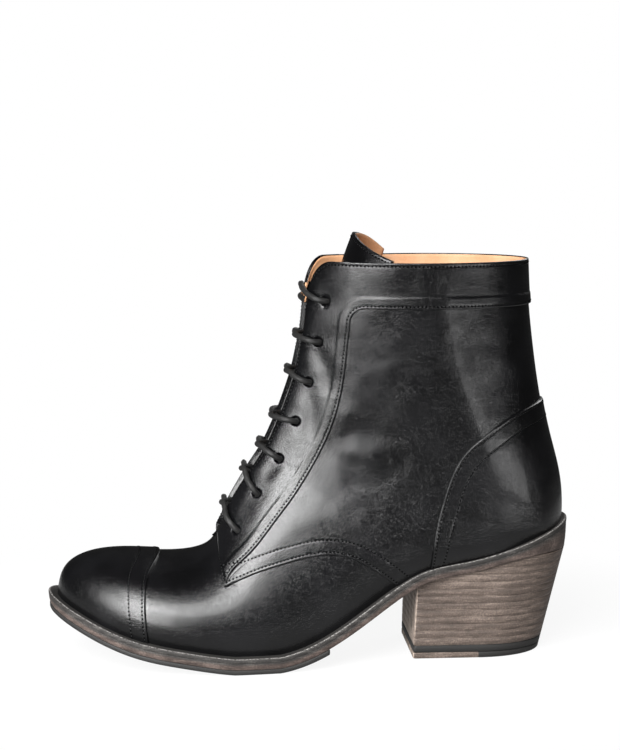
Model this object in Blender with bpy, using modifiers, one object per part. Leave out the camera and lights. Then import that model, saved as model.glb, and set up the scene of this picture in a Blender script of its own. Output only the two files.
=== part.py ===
"""Laced ankle boot for the left foot, with a stacked block heel, standing empty on its sole.

Metres, +Z up. The toe points along -X, the outer side of the foot faces -Y, and the origin is on
the floor under the middle of the boot. Sizes in the tables and constants are millimetres.
"""

import math
from collections import namedtuple

import bmesh
import bpy
import numpy as np
from mathutils import Vector

MM = 0.001
GAP = 0.3

# Sole: lengths along X, thicknesses square to the sole line
TOE_X, HEEL_X = -130.0, 130.0
AXIS_Y = 3.0
TOE_TURN_FROM, TOE_TURN_IN = -60.0, 3.0
TOE_ROUND, TOE_FULLNESS = 58.0, 2.2
HEEL_ROUND, HEEL_FULLNESS = 33.0, 2.0
WELT_THICK, OUTSOLE_THICK, RUBBER_THICK = 2.3, 3.0, 2.2
SOLE_THICK = WELT_THICK + OUTSOLE_THICK + RUBBER_THICK + 2 * GAP
RUBBER_END_X = 7.5
OUTSOLE_INSET, RUBBER_INSET = 0.3, 0.6
TIP_TRIM = 0.12
INSOLE_THICK = 2.6
WEDGE_FROM_X, WEDGE_BACK = 92.0, 9.9

# Upper: the wall stands inside the welt's edge and swells a little above it. Its surface starts a
# little below the welt's upper face, where the sole then trims it
WELT_EDGE = 5.5
UNDERCUT = 1.5
SWELL = 1.05
WALL = 1.4
PANEL_THICK = 0.9
PANEL_1 = GAP
PANEL_2 = PANEL_1 + PANEL_THICK + GAP

# Heel block: outline at the floor and at the seat
BREAST_X_FLOOR, BREAST_X_SEAT = 50.0, 52.0
HEEL_BACK_FLOOR, HEEL_BACK_SEAT = 116.5, 129.0
HEEL_HALF_FLOOR, HEEL_HALF_SEAT = 25.0, 31.0
HEEL_SEAT_Z = 52.0
TOP_PIECE_THICK, TOP_LIFT_THICK = 3.0, 3.2
TOP_PIECE_SPLIT_X = 82.0
LIFT_THICK, LIFT_GROOVE = 3.6, 0.35

# Lacing: eyelets evenly along a line of stations and round parameters up each facing, and the stretch of
# the facing's edge, in stations, that the lace goes over
EYELET_ROWS = 7
EYELET_LINE = ((8.07, 0.78), (11.3, 0.871), (14.5, 0.896), (17.79, 0.883))
EYELET_RADIUS, EYELET_DEPTH, EYELET_SIDES = 2.0, 14.0, 8
LACE_EDGE = ((7.8, 1.0), (18.7, 1.0))
EDGE_SAMPLES = 120
LACE_RADIUS = 1.6
LACE_LIFT = PANEL_2 + PANEL_THICK + GAP + LACE_RADIUS
# A lace arm: shares of the way from eyelet to facing edge, then how it crosses the throat and where it
# ends before the other facing
LACE_WAYS = (0.0, 0.5, 1.0)
LACE_CROSS_AHEAD = (-1.0, 0.0, 0.35)
LACE_OVER = 0.7 * LACE_RADIUS
LACE_END_SHARE, LACE_END_RISE = 0.55, 2.5
LACE_POINTS, LACE_SIDES_LEVEL = 6, 1

SoleRow = namedtuple("SoleRow", "x top outer inner")
SOLE_ROWS = (
    SoleRow(-130, 32.4, 37.0, 36.0),
    SoleRow(-110, 24.2, 41.0, 38.0),
    SoleRow(-88, 16.8, 45.5, 40.5),
    SoleRow(-62, 11.6, 48.5, 43.0),
    SoleRow(-38, 8.1, 49.0, 43.0),
    SoleRow(-17, 8.1, 47.0, 40.0),
    SoleRow(0, 13.2, 44.5, 36.0),
    SoleRow(20, 24.4, 40.0, 31.5),
    SoleRow(40, 38.0, 36.0, 29.0),
    SoleRow(52, 44.8, 34.5, 30.5),
    SoleRow(75, 50.0, 33.0, 32.0),
    SoleRow(105, 58.5, 32.5, 32.5),
    SoleRow(130, 67.5, 32.0, 32.0),
)

# One row for each section of the upper, toe to collar. Every section lies in a plane that holds the
# Y direction and runs from a back point (on the sole, or up the heel) to a front point (on the
# ridge of toe, vamp and shin). outer and inner are the greatest half widths, wide is where along
# the section they lie, and dome rounds the part in front of them. None is worked out from the sole.
Section = namedtuple("Section", "front_x front_z back_x back_z outer inner wide dome")
SECTIONS = (
    Section(-124.5, None, -124.5, None, None, None, 0.25, 2.3),
    Section(-122.3, 39.8, -122.3, None, None, None, 0.25, 2.3),
    Section(-116.0, 46.6, -116.0, None, None, None, 0.25, 2.3),
    Section(-105.0, 50.2, -105.0, None, None, None, 0.25, 2.25),
    Section(-89.0, 51.0, -89.0, None, None, None, 0.25, 2.2),
    Section(-69.0, 50.3, -69.0, None, None, None, 0.25, 2.1),
    Section(-53.0, 53.0, -48.0, None, None, None, 0.24, 2.05),
    Section(-46.0, 61.0, -25.0, None, 45.0, 39.0, 0.23, 2.0),
    Section(-42.4, 73.0, 0.0, None, 42.5, 36.5, 0.22, 2.05),
    Section(-37.6, 83.8, 30.0, None, 38.5, 34.0, 0.22, 2.2),
    Section(-32.8, 92.5, 62.0, None, 35.0, 33.0, 0.21, 2.4),
    Section(-28.8, 99.8, 94.5, None, 33.0, 32.7, 0.20, 2.5),
    Section(-25.6, 106.7, 117.0, None, 32.3, 32.3, 0.20, 2.5),
    Section(-23.0, 113.3, 124.5, None, 32.2, 32.2, 0.23, 2.5),
    Section(-18.3, 124.2, 124.3, 85.0, 32.3, 32.3, 0.28, 2.5),
    Section(-13.9, 136.4, 118.8, 108.0, 32.7, 32.7, 0.33, 2.4),
    Section(-9.9, 150.6, 113.5, 133.0, 33.3, 33.3, 0.39, 2.3),
    Section(-6.6, 165.5, 110.0, 157.0, 34.0, 34.0, 0.44, 2.2),
    Section(-4.1, 181.0, 107.8, 178.0, 34.8, 34.8, 0.46, 2.15),
    Section(-2.2, 196.5, 106.8, 196.5, 35.5, 35.5, 0.47, 2.1),
)
THROAT = 7.0
HEEL_BACK = 13.0
COLLAR = float(len(SECTIONS) - 1)
THROAT_HALF_LOW, THROAT_HALF_TOP, THROAT_ROUND = 9.5, 14.0, 0.06
CORNER_SHARE, CORNER_DROP, CORNER_FROM = 0.13, 1.25, 15.5
# The fan of sections turns fastest at the heel, so points there are means over nearby stations
FAIR_AT, FAIR_SPREAD, FAIR_REACH, FAIR_OFF_SEAM = 12.8, 2.4, 1.7, 0.25
FAIR_WEIGHTS = (1, 4, 7, 8, 7, 4, 1)

# Tongue: how far it lies behind the upper's section, and its half width, at stations of the upper
TongueRow = namedtuple("TongueRow", "station set_back half")
TONGUE_ROWS = (
    TongueRow(6.2, 3.2, 12.0),
    TongueRow(8.0, 4.2, 16.0),
    TongueRow(10.0, 5.7, 19.0),
    TongueRow(13.0, 9.0, 21.5),
    TongueRow(16.0, 12.5, 24.5),
    TongueRow(19.0, 19.2, 28.0),
    TongueRow(20.0, 23.3, 28.5),
)
TONGUE_THICK = 1.8
TONGUE_TOP = 19.78
# How far the top edge falls to each corner and how late: outer side, then inner side
TONGUE_CORNER_DROP, TONGUE_CORNER_POWER = (0.76, 0.6), (1.6, 4.0)
TONGUE_GRID = (13, 9)

# Seams in side view: points of x and z that a smooth line runs through
CAP_SEAM = ((-66.0, 58.0), (-74.0, 50.5), (-79.0, 45.5), (-81.0, 36.0), (-80.8, 27.0), (-79.2, 12.0),
            (-76.8, -5.0))
VAMP_SEAM = ((-42.6, 41.0), (-28.0, 47.2), (-14.6, 51.5), (-1.0, 54.8), (9.0, 55.4), (19.2, 53.2),
             (29.6, 47.4), (38.6, 40.6), (46.0, 34.0))
FACING_FRONT = ((-42.6, 41.0), (-44.2, 48.5), (-45.3, 58.0), (-45.4, 66.0), (-50.0, 74.0))
STAY_SEAM = ((-42.6, 41.0), (-40.1, 45.6), (-31.2, 54.8), (-17.4, 71.3), (-9.8, 80.8), (1.6, 98.3),
             (9.8, 115.9), (14.5, 132.7), (17.0, 151.3), (18.6, 167.0))
BAND_SEAM_Z, BAND_CORNER = 174.2, 7.0
COUNTER_SEAM = ((55.8, 38.0), (56.8, 46.7), (59.9, 68.0), (63.5, 81.4), (68.1, 94.9), (74.3, 105.0),
                (82.3, 112.1), (95.5, 120.8), (116.6, 127.0), (140.0, 130.0))
THROAT_AHEAD_X = -60.0
ABOVE_Z, BELOW_Z, BEHIND_X, AHEAD_X, BESIDE_Y = 215.0, -20.0, 145.0, -145.0, 80.0
CUTTER_DEPTH, CUTTER_MARGIN = 60.0, 20.0

# Where the upper's grid has its lines: along the boot, and from sole or heel seam to the front edge
STATIONS = (0.0, 0.4, 0.9, 1.5, 2.2, 3.0, 3.9, 4.8, 5.6, 6.3, 6.7, 7.0, 7.12, 7.4, 8.0, 8.7,
            9.3, 9.8, 10.6, 11.4, 12.2, 13.0, 13.8, 15.0, 16.3, 17.4, 18.3, 19.0)
ROUND = (0.0, 0.09, 0.2, 0.34, 0.5, 0.66, 0.8, 0.91, 1.0)
SOLE_STATIONS = 32
HEEL_SIDE_POINTS = 6
SEAM_POINTS, BAND_CORNER_POINTS = 24, 4
SHARP_ANGLE = math.radians(35)

# Finishes: colour, roughness, metallic
FINISHES = {
    "black_leather": ((0.012, 0.012, 0.014), 0.28, 0.0),
    "brown_leather": ((0.17, 0.105, 0.065), 0.55, 0.0),
    "welt_leather": ((0.24, 0.17, 0.115), 0.5, 0.0),
    "insole_leather": ((0.50, 0.27, 0.12), 0.6, 0.0),
    "black_rubber": ((0.015, 0.015, 0.016), 0.6, 0.0),
    "waxed_cord": ((0.01, 0.01, 0.011), 0.5, 0.0),
}


def spline(knots, values):
    """A natural cubic curve through the values, as a function that takes arrays."""
    t, y = np.asarray(knots, float), np.asarray(values, float)
    h = np.diff(t)
    system = np.eye(len(t))
    right = np.zeros(len(t))
    for i in range(1, len(t) - 1):
        system[i, i - 1 : i + 2] = h[i - 1], 2 * (h[i - 1] + h[i]), h[i]
        right[i] = 6 * ((y[i + 1] - y[i]) / h[i] - (y[i] - y[i - 1]) / h[i - 1])
    bend = np.linalg.solve(system, right)

    def curve(at):
        at = np.asarray(at, float)
        i = np.clip(np.searchsorted(t, at) - 1, 0, len(t) - 2)
        a, b = (t[i + 1] - at) / h[i], (at - t[i]) / h[i]
        arch = ((a**3 - a) * bend[i] + (b**3 - b) * bend[i + 1]) * h[i] ** 2 / 6
        return a * y[i] + b * y[i + 1] + arch

    return curve


def end_round(distance, length, fullness):
    """0 at a rounded end and 1 from length onwards, as a superellipse."""
    share = np.clip(1 - np.asarray(distance, float) / length, 0, 1)
    return np.sqrt(1 - share**fullness)


SOLE_CURVES = {name: spline([r.x for r in SOLE_ROWS], [getattr(r, name) for r in SOLE_ROWS])
               for name in ("top", "outer", "inner")}


def sole_top(x):
    """Height of the welt's upper face. It is level where the forefoot treads the floor."""
    return np.maximum(SOLE_CURVES["top"](x), SOLE_THICK)


def axis_y(x):
    """The middle plane of the boot, which turns inwards at the toe."""
    share = np.clip((TOE_TURN_FROM - np.asarray(x, float)) / (TOE_TURN_FROM - TOE_X), 0, 1)
    return AXIS_Y + TOE_TURN_IN * share**2


def half_width(x, side, inset=0.0):
    """Half width of the sole's outline at x, on the outer (-1) or inner (1) side, moved in by inset."""
    body = SOLE_CURVES["outer" if side < 0 else "inner"](x) - inset
    toe = end_round(x - (TOE_X + inset), TOE_ROUND, TOE_FULLNESS)
    heel = end_round((HEEL_X - inset) - x, HEEL_ROUND, HEEL_FULLNESS)
    return body * toe * heel


def section_columns():
    """The section table as one curve for each column, with its blanks worked out from the sole."""
    rows = []
    for row in SECTIONS:
        seat = float(sole_top(row.back_x)) - UNDERCUT
        filled = {"back_z": seat if row.back_z is None else row.back_z}
        filled["front_z"] = seat if row.front_z is None else row.front_z
        for side, name in ((-1, "outer"), (1, "inner")):
            given = getattr(row, name)
            feather = float(half_width(row.back_x, side, WELT_EDGE))
            filled[name] = SWELL * feather if given is None else given
        rows.append(row._replace(**filled))
    return {name: spline(range(len(rows)), [getattr(r, name) for r in rows]) for name in Section._fields}


COLUMNS = section_columns()


def throat_half(s):
    """Half of the gap between the two facings, nothing below the throat."""
    share = np.clip((s - THROAT) / (COLLAR - THROAT), 0, 1)
    opened = THROAT_HALF_LOW + (THROAT_HALF_TOP - THROAT_HALF_LOW) * share
    return opened * np.minimum(1, np.sqrt(share / THROAT_ROUND))


def corner_station(s, v):
    """Stations drawn down near the front edge, so that the facing ends in a rounded collar corner."""
    reach = np.clip((v - (1 - CORNER_SHARE)) / CORNER_SHARE, 0, 1)
    drop = CORNER_DROP * (1 - np.sqrt(1 - reach**2))
    above = np.clip((s - CORNER_FROM) / (COLLAR - CORNER_FROM), 0, 1)
    return s - above * drop


def section_points(s, v, side):
    """Points of the bare sections: an ellipse arc from the feather line out to the widest place, then
    a superellipse quarter forward to the ridge or the facing edge."""
    s = corner_station(s, v)
    col = {name: COLUMNS[name](s) for name in Section._fields}
    front = np.stack([col["front_x"], col["front_z"]], -1)
    back = np.stack([col["back_x"], col["back_z"]], -1)
    length = np.linalg.norm(front - back, axis=-1)
    heel_end = HEEL_X - WELT_EDGE
    feather = np.where(s < HEEL_BACK, half_width(np.minimum(col["back_x"], heel_end), side, WELT_EDGE), 0)
    widest = np.maximum(col["outer" if side < 0 else "inner"], feather + 1e-6)

    low = np.hypot(widest - feather, col["wide"] * length)
    high = np.hypot(widest, (1 - col["wide"]) * length)
    turn = np.maximum(low / np.maximum(low + high, 1e-9), 1e-9)
    start = np.arcsin(np.clip(feather / widest, 0, 0.999))
    end = np.arccos(np.minimum(throat_half(s) / widest, 1) ** (col["dome"] / 2))
    below = start + (math.pi / 2 - start) * np.clip(v / turn, 0, 1)
    ahead = end * np.clip((v - turn) / np.maximum(1 - turn, 1e-9), 0, 1)
    y = np.where(v < turn, widest * np.sin(below), widest * np.cos(ahead) ** (2 / col["dome"]))
    y = np.where((v >= 1) & (s <= THROAT), 0, y)
    t = np.where(v < turn, col["wide"] * (1 - np.cos(below) / np.cos(start)),
                 col["wide"] + (1 - col["wide"]) * np.sin(ahead))
    xz = back + (front - back) * t[..., None]
    return np.stack([xz[..., 0], axis_y(xz[..., 0]) + side * y, xz[..., 1]], -1)


def upper_surface(s, v, side):
    """Points of the upper's outer face in millimetres. s runs from toe to collar, v from the sole or
    heel seam (0) to the ridge or facing edge (1), and side is -1 outside or 1 inside."""
    s, v = np.broadcast_arrays(np.asarray(s, float), np.asarray(v, float))
    near_heel = np.exp(-(((s - FAIR_AT) / FAIR_SPREAD) ** 2))
    off_seam = np.clip(v / FAIR_OFF_SEAM, 0, 1)
    reach = FAIR_REACH * near_heel * off_seam**2 * (3 - 2 * off_seam)
    shifts = np.linspace(-1, 1, len(FAIR_WEIGHTS))
    total = sum(w * section_points(np.clip(s + k * reach, 0, COLLAR), v, side)
                for w, k in zip(FAIR_WEIGHTS, shifts))
    return total / sum(FAIR_WEIGHTS)


def tongue_surface(s, u):
    """Points of the tongue's outer face: the front of each section, set back into the boot. u runs
    across it from -1 on the outer side to 1 on the inner side."""
    s, u = np.broadcast_arrays(np.asarray(s, float), np.asarray(u, float))
    stations = [row.station for row in TONGUE_ROWS]
    set_back = spline(stations, [row.set_back for row in TONGUE_ROWS])(s)
    half = spline(stations, [row.half for row in TONGUE_ROWS])(s)
    col = {name: COLUMNS[name](s) for name in Section._fields}
    widest = np.where(u < 0, col["outer"], col["inner"])
    y = half * u
    t = col["wide"] + (1 - col["wide"]) * np.sqrt(1 - (np.abs(y) / widest) ** col["dome"])
    front = np.stack([col["front_x"], col["front_z"]], -1)
    back = np.stack([col["back_x"], col["back_z"]], -1)
    inward = (back - front) / np.linalg.norm(back - front, axis=-1)[..., None]
    xz = back + (front - back) * t[..., None] + inward * set_back[..., None]
    return np.stack([xz[..., 0], axis_y(xz[..., 0]) + y, xz[..., 1]], -1)


def new_object(name, mesh, collection):
    thing = bpy.data.objects.new(name, mesh)
    collection.objects.link(thing)
    return thing


def new_cutter(name, mesh, cutters):
    """A helper shape that cuts or joins, and isn't part of the boot."""
    cutter = new_object(name, mesh, cutters)
    cutter.hide_render = True
    cutter.display_type = "WIRE"
    return cutter


def boolean(thing, operand, operation):
    step = thing.modifiers.new(operand.name, "BOOLEAN")
    step.operation = operation
    step.object = operand
    step.solver = "EXACT"


def finish(thing, finish_name):
    """Give an object its own Principled material and smooth shading on its round faces."""
    colour, roughness, metallic = FINISHES[finish_name]
    material = bpy.data.materials.new(thing.name + "_" + finish_name)
    material.use_nodes = True
    shader = material.node_tree.nodes["Principled BSDF"]
    shader.inputs["Base Color"].default_value = (*colour, 1.0)
    shader.inputs["Roughness"].default_value = roughness
    shader.inputs["Metallic"].default_value = metallic
    material.diffuse_color = (*colour, 1.0)
    thing.data.materials.append(material)
    thing.data.shade_smooth()
    thing.data.set_sharp_from_angle(angle=SHARP_ANGLE)


def mesh_from(name, points, faces, turn_outwards=True):
    """A mesh in metres, with doubled points merged. An open surface keeps the way its faces point, and
    is made of triangles so that the walls on it are all folded alike."""
    mesh = bpy.data.meshes.new(name)
    mesh.from_pydata((np.asarray(points) * MM).tolist(), [], faces)
    bm = bmesh.new()
    bm.from_mesh(mesh)
    bmesh.ops.remove_doubles(bm, verts=bm.verts, dist=0.01 * MM)
    bmesh.ops.dissolve_degenerate(bm, dist=0.001 * MM, edges=bm.edges)
    if turn_outwards:
        bmesh.ops.recalc_face_normals(bm, faces=bm.faces)
    else:
        bmesh.ops.triangulate(bm, faces=bm.faces)
    bm.to_mesh(mesh)
    bm.free()
    return mesh


def grid_faces(rows, columns, first=0, flip=False):
    faces = []
    for i in range(rows - 1):
        for j in range(columns - 1):
            a = first + i * columns + j
            face = (a, a + columns, a + columns + 1, a + 1)
            faces.append(face[::-1] if flip else face)
    return faces


def loft(name, rings):
    """A closed solid through rings that have the same number of points."""
    rings = np.asarray(rings)
    count, around = rings.shape[:2]
    faces = [tuple(range(around)), tuple(range((count - 1) * around, count * around))]
    for i in range(count - 1):
        for j in range(around):
            a, b = i * around + j, i * around + (j + 1) % around
            faces.append((a, b, b + around, a + around))
    return mesh_from(name, rings.reshape(-1, 3), faces)


def smooth_line(points, count=SEAM_POINTS):
    """Points on a smooth curve through the given ones, evenly along its chords."""
    points = np.asarray(points, float)
    chords = np.r_[0, np.cumsum(np.linalg.norm(np.diff(points, axis=0), axis=1))]
    at = np.linspace(0, chords[-1], count)
    return np.stack([spline(chords, column)(at) for column in points.T], -1)


def prism(name, outline, y_low, y_high, cutters):
    """A cutter with a side-view outline, reaching from y_low to y_high."""
    bm = bmesh.new()
    corners = [bm.verts.new((x * MM, y_low * MM, z * MM)) for x, z in outline]
    face = bm.faces.new(corners)
    swept = bmesh.ops.extrude_face_region(bm, geom=[face])["geom"]
    moved = [item for item in swept if isinstance(item, bmesh.types.BMVert)]
    bmesh.ops.translate(bm, verts=moved, vec=(0, (y_high - y_low) * MM, 0))
    bmesh.ops.recalc_face_normals(bm, faces=bm.faces)
    mesh = bpy.data.meshes.new(name)
    bm.to_mesh(mesh)
    bm.free()
    return new_cutter(name, mesh, cutters)


def sole_depth(x, depth):
    """Height of the sole at a depth below the welt's upper face, measured square to the sole line. The
    outsole thickens into a wedge towards the back of the heel seat."""
    step = 0.5
    slope = (sole_top(x + step) - sole_top(x - step)) / (2 * step)
    in_outsole = np.clip((depth - WELT_THICK - GAP) / OUTSOLE_THICK, 0, 1)
    wedge = WEDGE_BACK * np.clip((x - WEDGE_FROM_X) / (HEEL_X - WEDGE_FROM_X), 0, None) ** 2
    return sole_top(x) - depth * np.hypot(1, slope) - in_outsole * wedge


def sole_layer(name, top, bottom, inset, x_from, x_to):
    """A layer of the sole between two depths, with upright edges. All layers have the same stations
    between their ends, close together at toe and heel."""
    turn = np.linspace(0, math.pi, SOLE_STATIONS)
    x = TOE_X + (HEEL_X - TOE_X) * (1 - np.cos(turn)) / 2
    x = np.r_[x_from, x[(x > x_from + GAP) & (x < x_to - GAP)], x_to]
    corners = []
    for depth, sides in ((top, (-1, 1)), (bottom, (1, -1))):
        for side in sides:
            y = axis_y(x) + side * half_width(x, side, inset)
            corners.append(np.stack([x, y, sole_depth(x, depth)], -1))
    return loft(name, np.stack(corners, 1))


def heel_ring(z, inset, x_from=None, x_to=None):
    """The heel block's outline at a height: a straight breast, straight sides and a round back."""
    share = z / HEEL_SEAT_Z
    breast = BREAST_X_FLOOR + (BREAST_X_SEAT - BREAST_X_FLOOR) * share + inset
    back = HEEL_BACK_FLOOR + (HEEL_BACK_SEAT - HEEL_BACK_FLOOR) * share - inset
    half = HEEL_HALF_FLOOR + (HEEL_HALF_SEAT - HEEL_HALF_FLOOR) * share - inset
    start = breast if x_from is None else x_from
    end = back if x_to is None else x_to
    x = start + (end - start) * np.sin(np.linspace(0, math.pi / 2, HEEL_SIDE_POINTS))
    y = half * end_round(back - x, HEEL_ROUND, HEEL_FULLNESS)
    outer = np.stack([x, AXIS_Y - y, np.full_like(x, z)], -1)
    inner = np.stack([x, AXIS_Y + y, np.full_like(x, z)], -1)
    return np.concatenate([outer, inner[::-1] if x_to is not None else inner[-2::-1]])


def make_sole(parts, cutters):
    """Welt, outsole, forepart rubber and insole, and the heel's lifts and top pieces."""
    outsole_top = WELT_THICK + GAP
    rubber_top = outsole_top + OUTSOLE_THICK + GAP
    insole_inset = WELT_EDGE + WALL + 3 * GAP
    layers = (
        ("welt", "welt_leather", 0, WELT_THICK, 0, HEEL_X),
        ("outsole", "brown_leather", outsole_top, outsole_top + OUTSOLE_THICK, OUTSOLE_INSET, HEEL_X),
        ("forepart_rubber", "black_rubber", rubber_top, rubber_top + RUBBER_THICK, RUBBER_INSET,
         RUBBER_END_X),
        ("insole", "insole_leather", -GAP - INSOLE_THICK, -GAP, insole_inset, HEEL_X),
    )
    for name, finish_name, top, bottom, inset, end in layers:
        back = min(end, HEEL_X - inset - TIP_TRIM)
        layer = sole_layer(name, top, bottom, inset, TOE_X + inset + TIP_TRIM, back)
        finish(new_object(name, layer, parts), finish_name)

    low = TOP_PIECE_THICK + GAP + TOP_LIFT_THICK + GAP
    rings = [heel_ring(low, 0)]
    lift_z = low + LIFT_THICK
    while lift_z < HEEL_SEAT_Z + LIFT_THICK:
        rings += [heel_ring(lift_z - LIFT_GROOVE, 0), heel_ring(lift_z, LIFT_GROOVE),
                  heel_ring(lift_z + LIFT_GROOVE, 0)]
        lift_z += LIFT_THICK
    stack = new_object("heel_stack", loft("heel_stack", rings), parts)
    seat_depth = WELT_THICK + OUTSOLE_THICK + 2 * GAP
    seat = sole_layer("seat_cutter", -CUTTER_DEPTH, seat_depth, -CUTTER_MARGIN, RUBBER_END_X, BEHIND_X)
    boolean(stack, new_cutter("seat_cutter", seat, cutters), "DIFFERENCE")
    finish(stack, "brown_leather")

    lift_low = TOP_PIECE_THICK + GAP
    lift = loft("top_lift", [heel_ring(lift_low, 0), heel_ring(lift_low + TOP_LIFT_THICK, 0)])
    finish(new_object("top_lift", lift, parts), "black_rubber")
    front = loft("top_piece_leather", [heel_ring(z, 0, x_to=TOP_PIECE_SPLIT_X)
                                       for z in (0, TOP_PIECE_THICK)])
    finish(new_object("top_piece_leather", front, parts), "brown_leather")
    rear = loft("top_piece_rubber", [heel_ring(z, 0, x_from=TOP_PIECE_SPLIT_X + GAP)
                                     for z in (0, TOP_PIECE_THICK)])
    finish(new_object("top_piece_rubber", rear, parts), "black_rubber")


def upper_mesh(name):
    """The upper's outer face as an open surface: two halves that meet at the ridge and the heel seam."""
    s, v = np.meshgrid(STATIONS, ROUND, indexing="ij")
    rows, columns = s.shape
    halves = [upper_surface(s, v, side).reshape(-1, 3) for side in (-1, 1)]
    faces = grid_faces(rows, columns) + grid_faces(rows, columns, rows * columns, flip=True)
    return mesh_from(name, np.concatenate(halves), faces, turn_outwards=False)


def shell(thing, thickness, gap=None):
    """Thicken a surface inwards, or outwards from a gap above it."""
    wall = thing.modifiers.new("wall", "SOLIDIFY")
    wall.thickness = thickness * MM
    wall.offset = -1 if gap is None else 1 + 2 * gap / thickness
    wall.use_even_offset = False


def panel(name, outline, sides, gap, parts, cutters):
    """A leather panel on the upper: the upper's own surface, thickened outside it and cut to an outline."""
    piece = new_object(name, upper_mesh(name), parts)
    shell(piece, PANEL_THICK, gap)
    spans = {0: (-BESIDE_Y, BESIDE_Y), -1: (-BESIDE_Y, AXIS_Y - GAP / 2), 1: (AXIS_Y + GAP / 2, BESIDE_Y)}
    boolean(piece, prism(name + "_outline", outline, *spans[sides], cutters), "INTERSECT")
    finish(piece, "black_leather")
    return piece


def even_places(line, side):
    """Station and round parameter of one place a row, evenly by length along a line of such pairs."""
    s, v = smooth_line(line, EDGE_SAMPLES).T
    run = np.r_[0, np.cumsum(np.linalg.norm(np.diff(upper_surface(s, v, side), axis=0), axis=1))]
    at = np.linspace(0, run[-1], EYELET_ROWS)
    return list(zip(np.interp(at, run, s), np.interp(at, run, v)))


def surface_normal(s, v, side):
    step = 0.01
    along = upper_surface(s + step, v, side) - upper_surface(s - step, v, side)
    across = upper_surface(s, min(v + step, 1), side) - upper_surface(s, v - step, side)
    normal = -side * np.cross(along, across)
    return normal / np.linalg.norm(normal)


def eyelet_cutter(side, cutters):
    """Round pins through the facing at the eyelets of one side, in one mesh."""
    bm = bmesh.new()
    for s, v in even_places(EYELET_LINE, side):
        centre = Vector((upper_surface(s, v, side) * MM).tolist())
        axis = Vector(surface_normal(s, v, side).tolist())
        pin = bmesh.ops.create_cone(bm, cap_ends=True, segments=EYELET_SIDES, depth=EYELET_DEPTH * MM,
                                    radius1=EYELET_RADIUS * MM, radius2=EYELET_RADIUS * MM)
        turn = Vector((0, 0, 1)).rotation_difference(axis).to_matrix()
        bmesh.ops.rotate(bm, verts=pin["verts"], matrix=turn)
        bmesh.ops.translate(bm, verts=pin["verts"], vec=centre)
    name = "eyelets_outer" if side < 0 else "eyelets_inner"
    mesh = bpy.data.meshes.new(name)
    bm.to_mesh(mesh)
    bm.free()
    return new_cutter(name, mesh, cutters)


def make_upper(parts, cutters):
    """The hollow upper, and the panels that lie on it."""
    upper = new_object("upper", upper_mesh("upper"), parts)
    shell(upper, WALL)
    finish(upper, "black_leather")

    around_toe = [(AHEAD_X, BELOW_Z), (AHEAD_X, ABOVE_Z), (CAP_SEAM[0][0], ABOVE_Z)]
    cap = np.concatenate([smooth_line(CAP_SEAM), around_toe])
    pieces = [upper, panel("toe_cap", cap, 0, PANEL_1, parts, cutters)]

    facing_front = smooth_line(FACING_FRONT)
    above = [(BEHIND_X, ABOVE_Z), (THROAT_AHEAD_X, ABOVE_Z), (THROAT_AHEAD_X, FACING_FRONT[-1][1])]
    quarter = np.concatenate([smooth_line(VAMP_SEAM), [(BEHIND_X, BELOW_Z)], above, facing_front[-2:0:-1]])
    stay_seam = smooth_line(STAY_SEAM)
    turn = np.linspace(0, math.pi / 2, BAND_CORNER_POINTS)[1:]
    corner_x, corner_z = STAY_SEAM[-1][0] + BAND_CORNER, BAND_SEAM_Z - BAND_CORNER
    corner = np.stack([corner_x - BAND_CORNER * np.cos(turn), corner_z + BAND_CORNER * np.sin(turn)], -1)
    stay = np.concatenate([stay_seam, corner, [(BEHIND_X, BAND_SEAM_Z)], above, facing_front[-2:0:-1]])
    for side, word in ((-1, "outer"), (1, "inner")):
        holes = eyelet_cutter(side, cutters)
        laced = [panel("quarter_" + word, quarter, side, PANEL_1, parts, cutters),
                 panel("eyestay_" + word, stay, side, PANEL_2, parts, cutters)]
        for piece in [upper] + laced:
            boolean(piece, holes, "DIFFERENCE")
        pieces.append(laced[0])

    around_heel = [(BEHIND_X, BELOW_Z), (COUNTER_SEAM[0][0], BELOW_Z)]
    counter = np.concatenate([smooth_line(COUNTER_SEAM), around_heel])
    pieces.append(panel("heel_counter", counter, 0, PANEL_2, parts, cutters))
    below = sole_layer("sole_cutter", -GAP, CUTTER_DEPTH, -CUTTER_MARGIN, AHEAD_X, BEHIND_X)
    trim = new_cutter("sole_cutter", below, cutters)
    for piece in pieces:
        boolean(piece, trim, "DIFFERENCE")


def make_tongue(parts):
    rows, columns = TONGUE_GRID
    u = np.linspace(-1, 1, columns)[None, :]
    rise = np.linspace(0, 1, rows)[:, None]
    drop, power = (np.where(u < 0, *pair) for pair in (TONGUE_CORNER_DROP, TONGUE_CORNER_POWER))
    top = TONGUE_TOP - drop * np.abs(u) ** power
    points = tongue_surface(TONGUE_ROWS[0].station + (top - TONGUE_ROWS[0].station) * rise, u)
    mesh = mesh_from("tongue", points.reshape(-1, 3), grid_faces(rows, columns), turn_outwards=False)
    tongue = new_object("tongue", mesh, parts)
    shell(tongue, TONGUE_THICK)
    finish(tongue, "black_leather")


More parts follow.
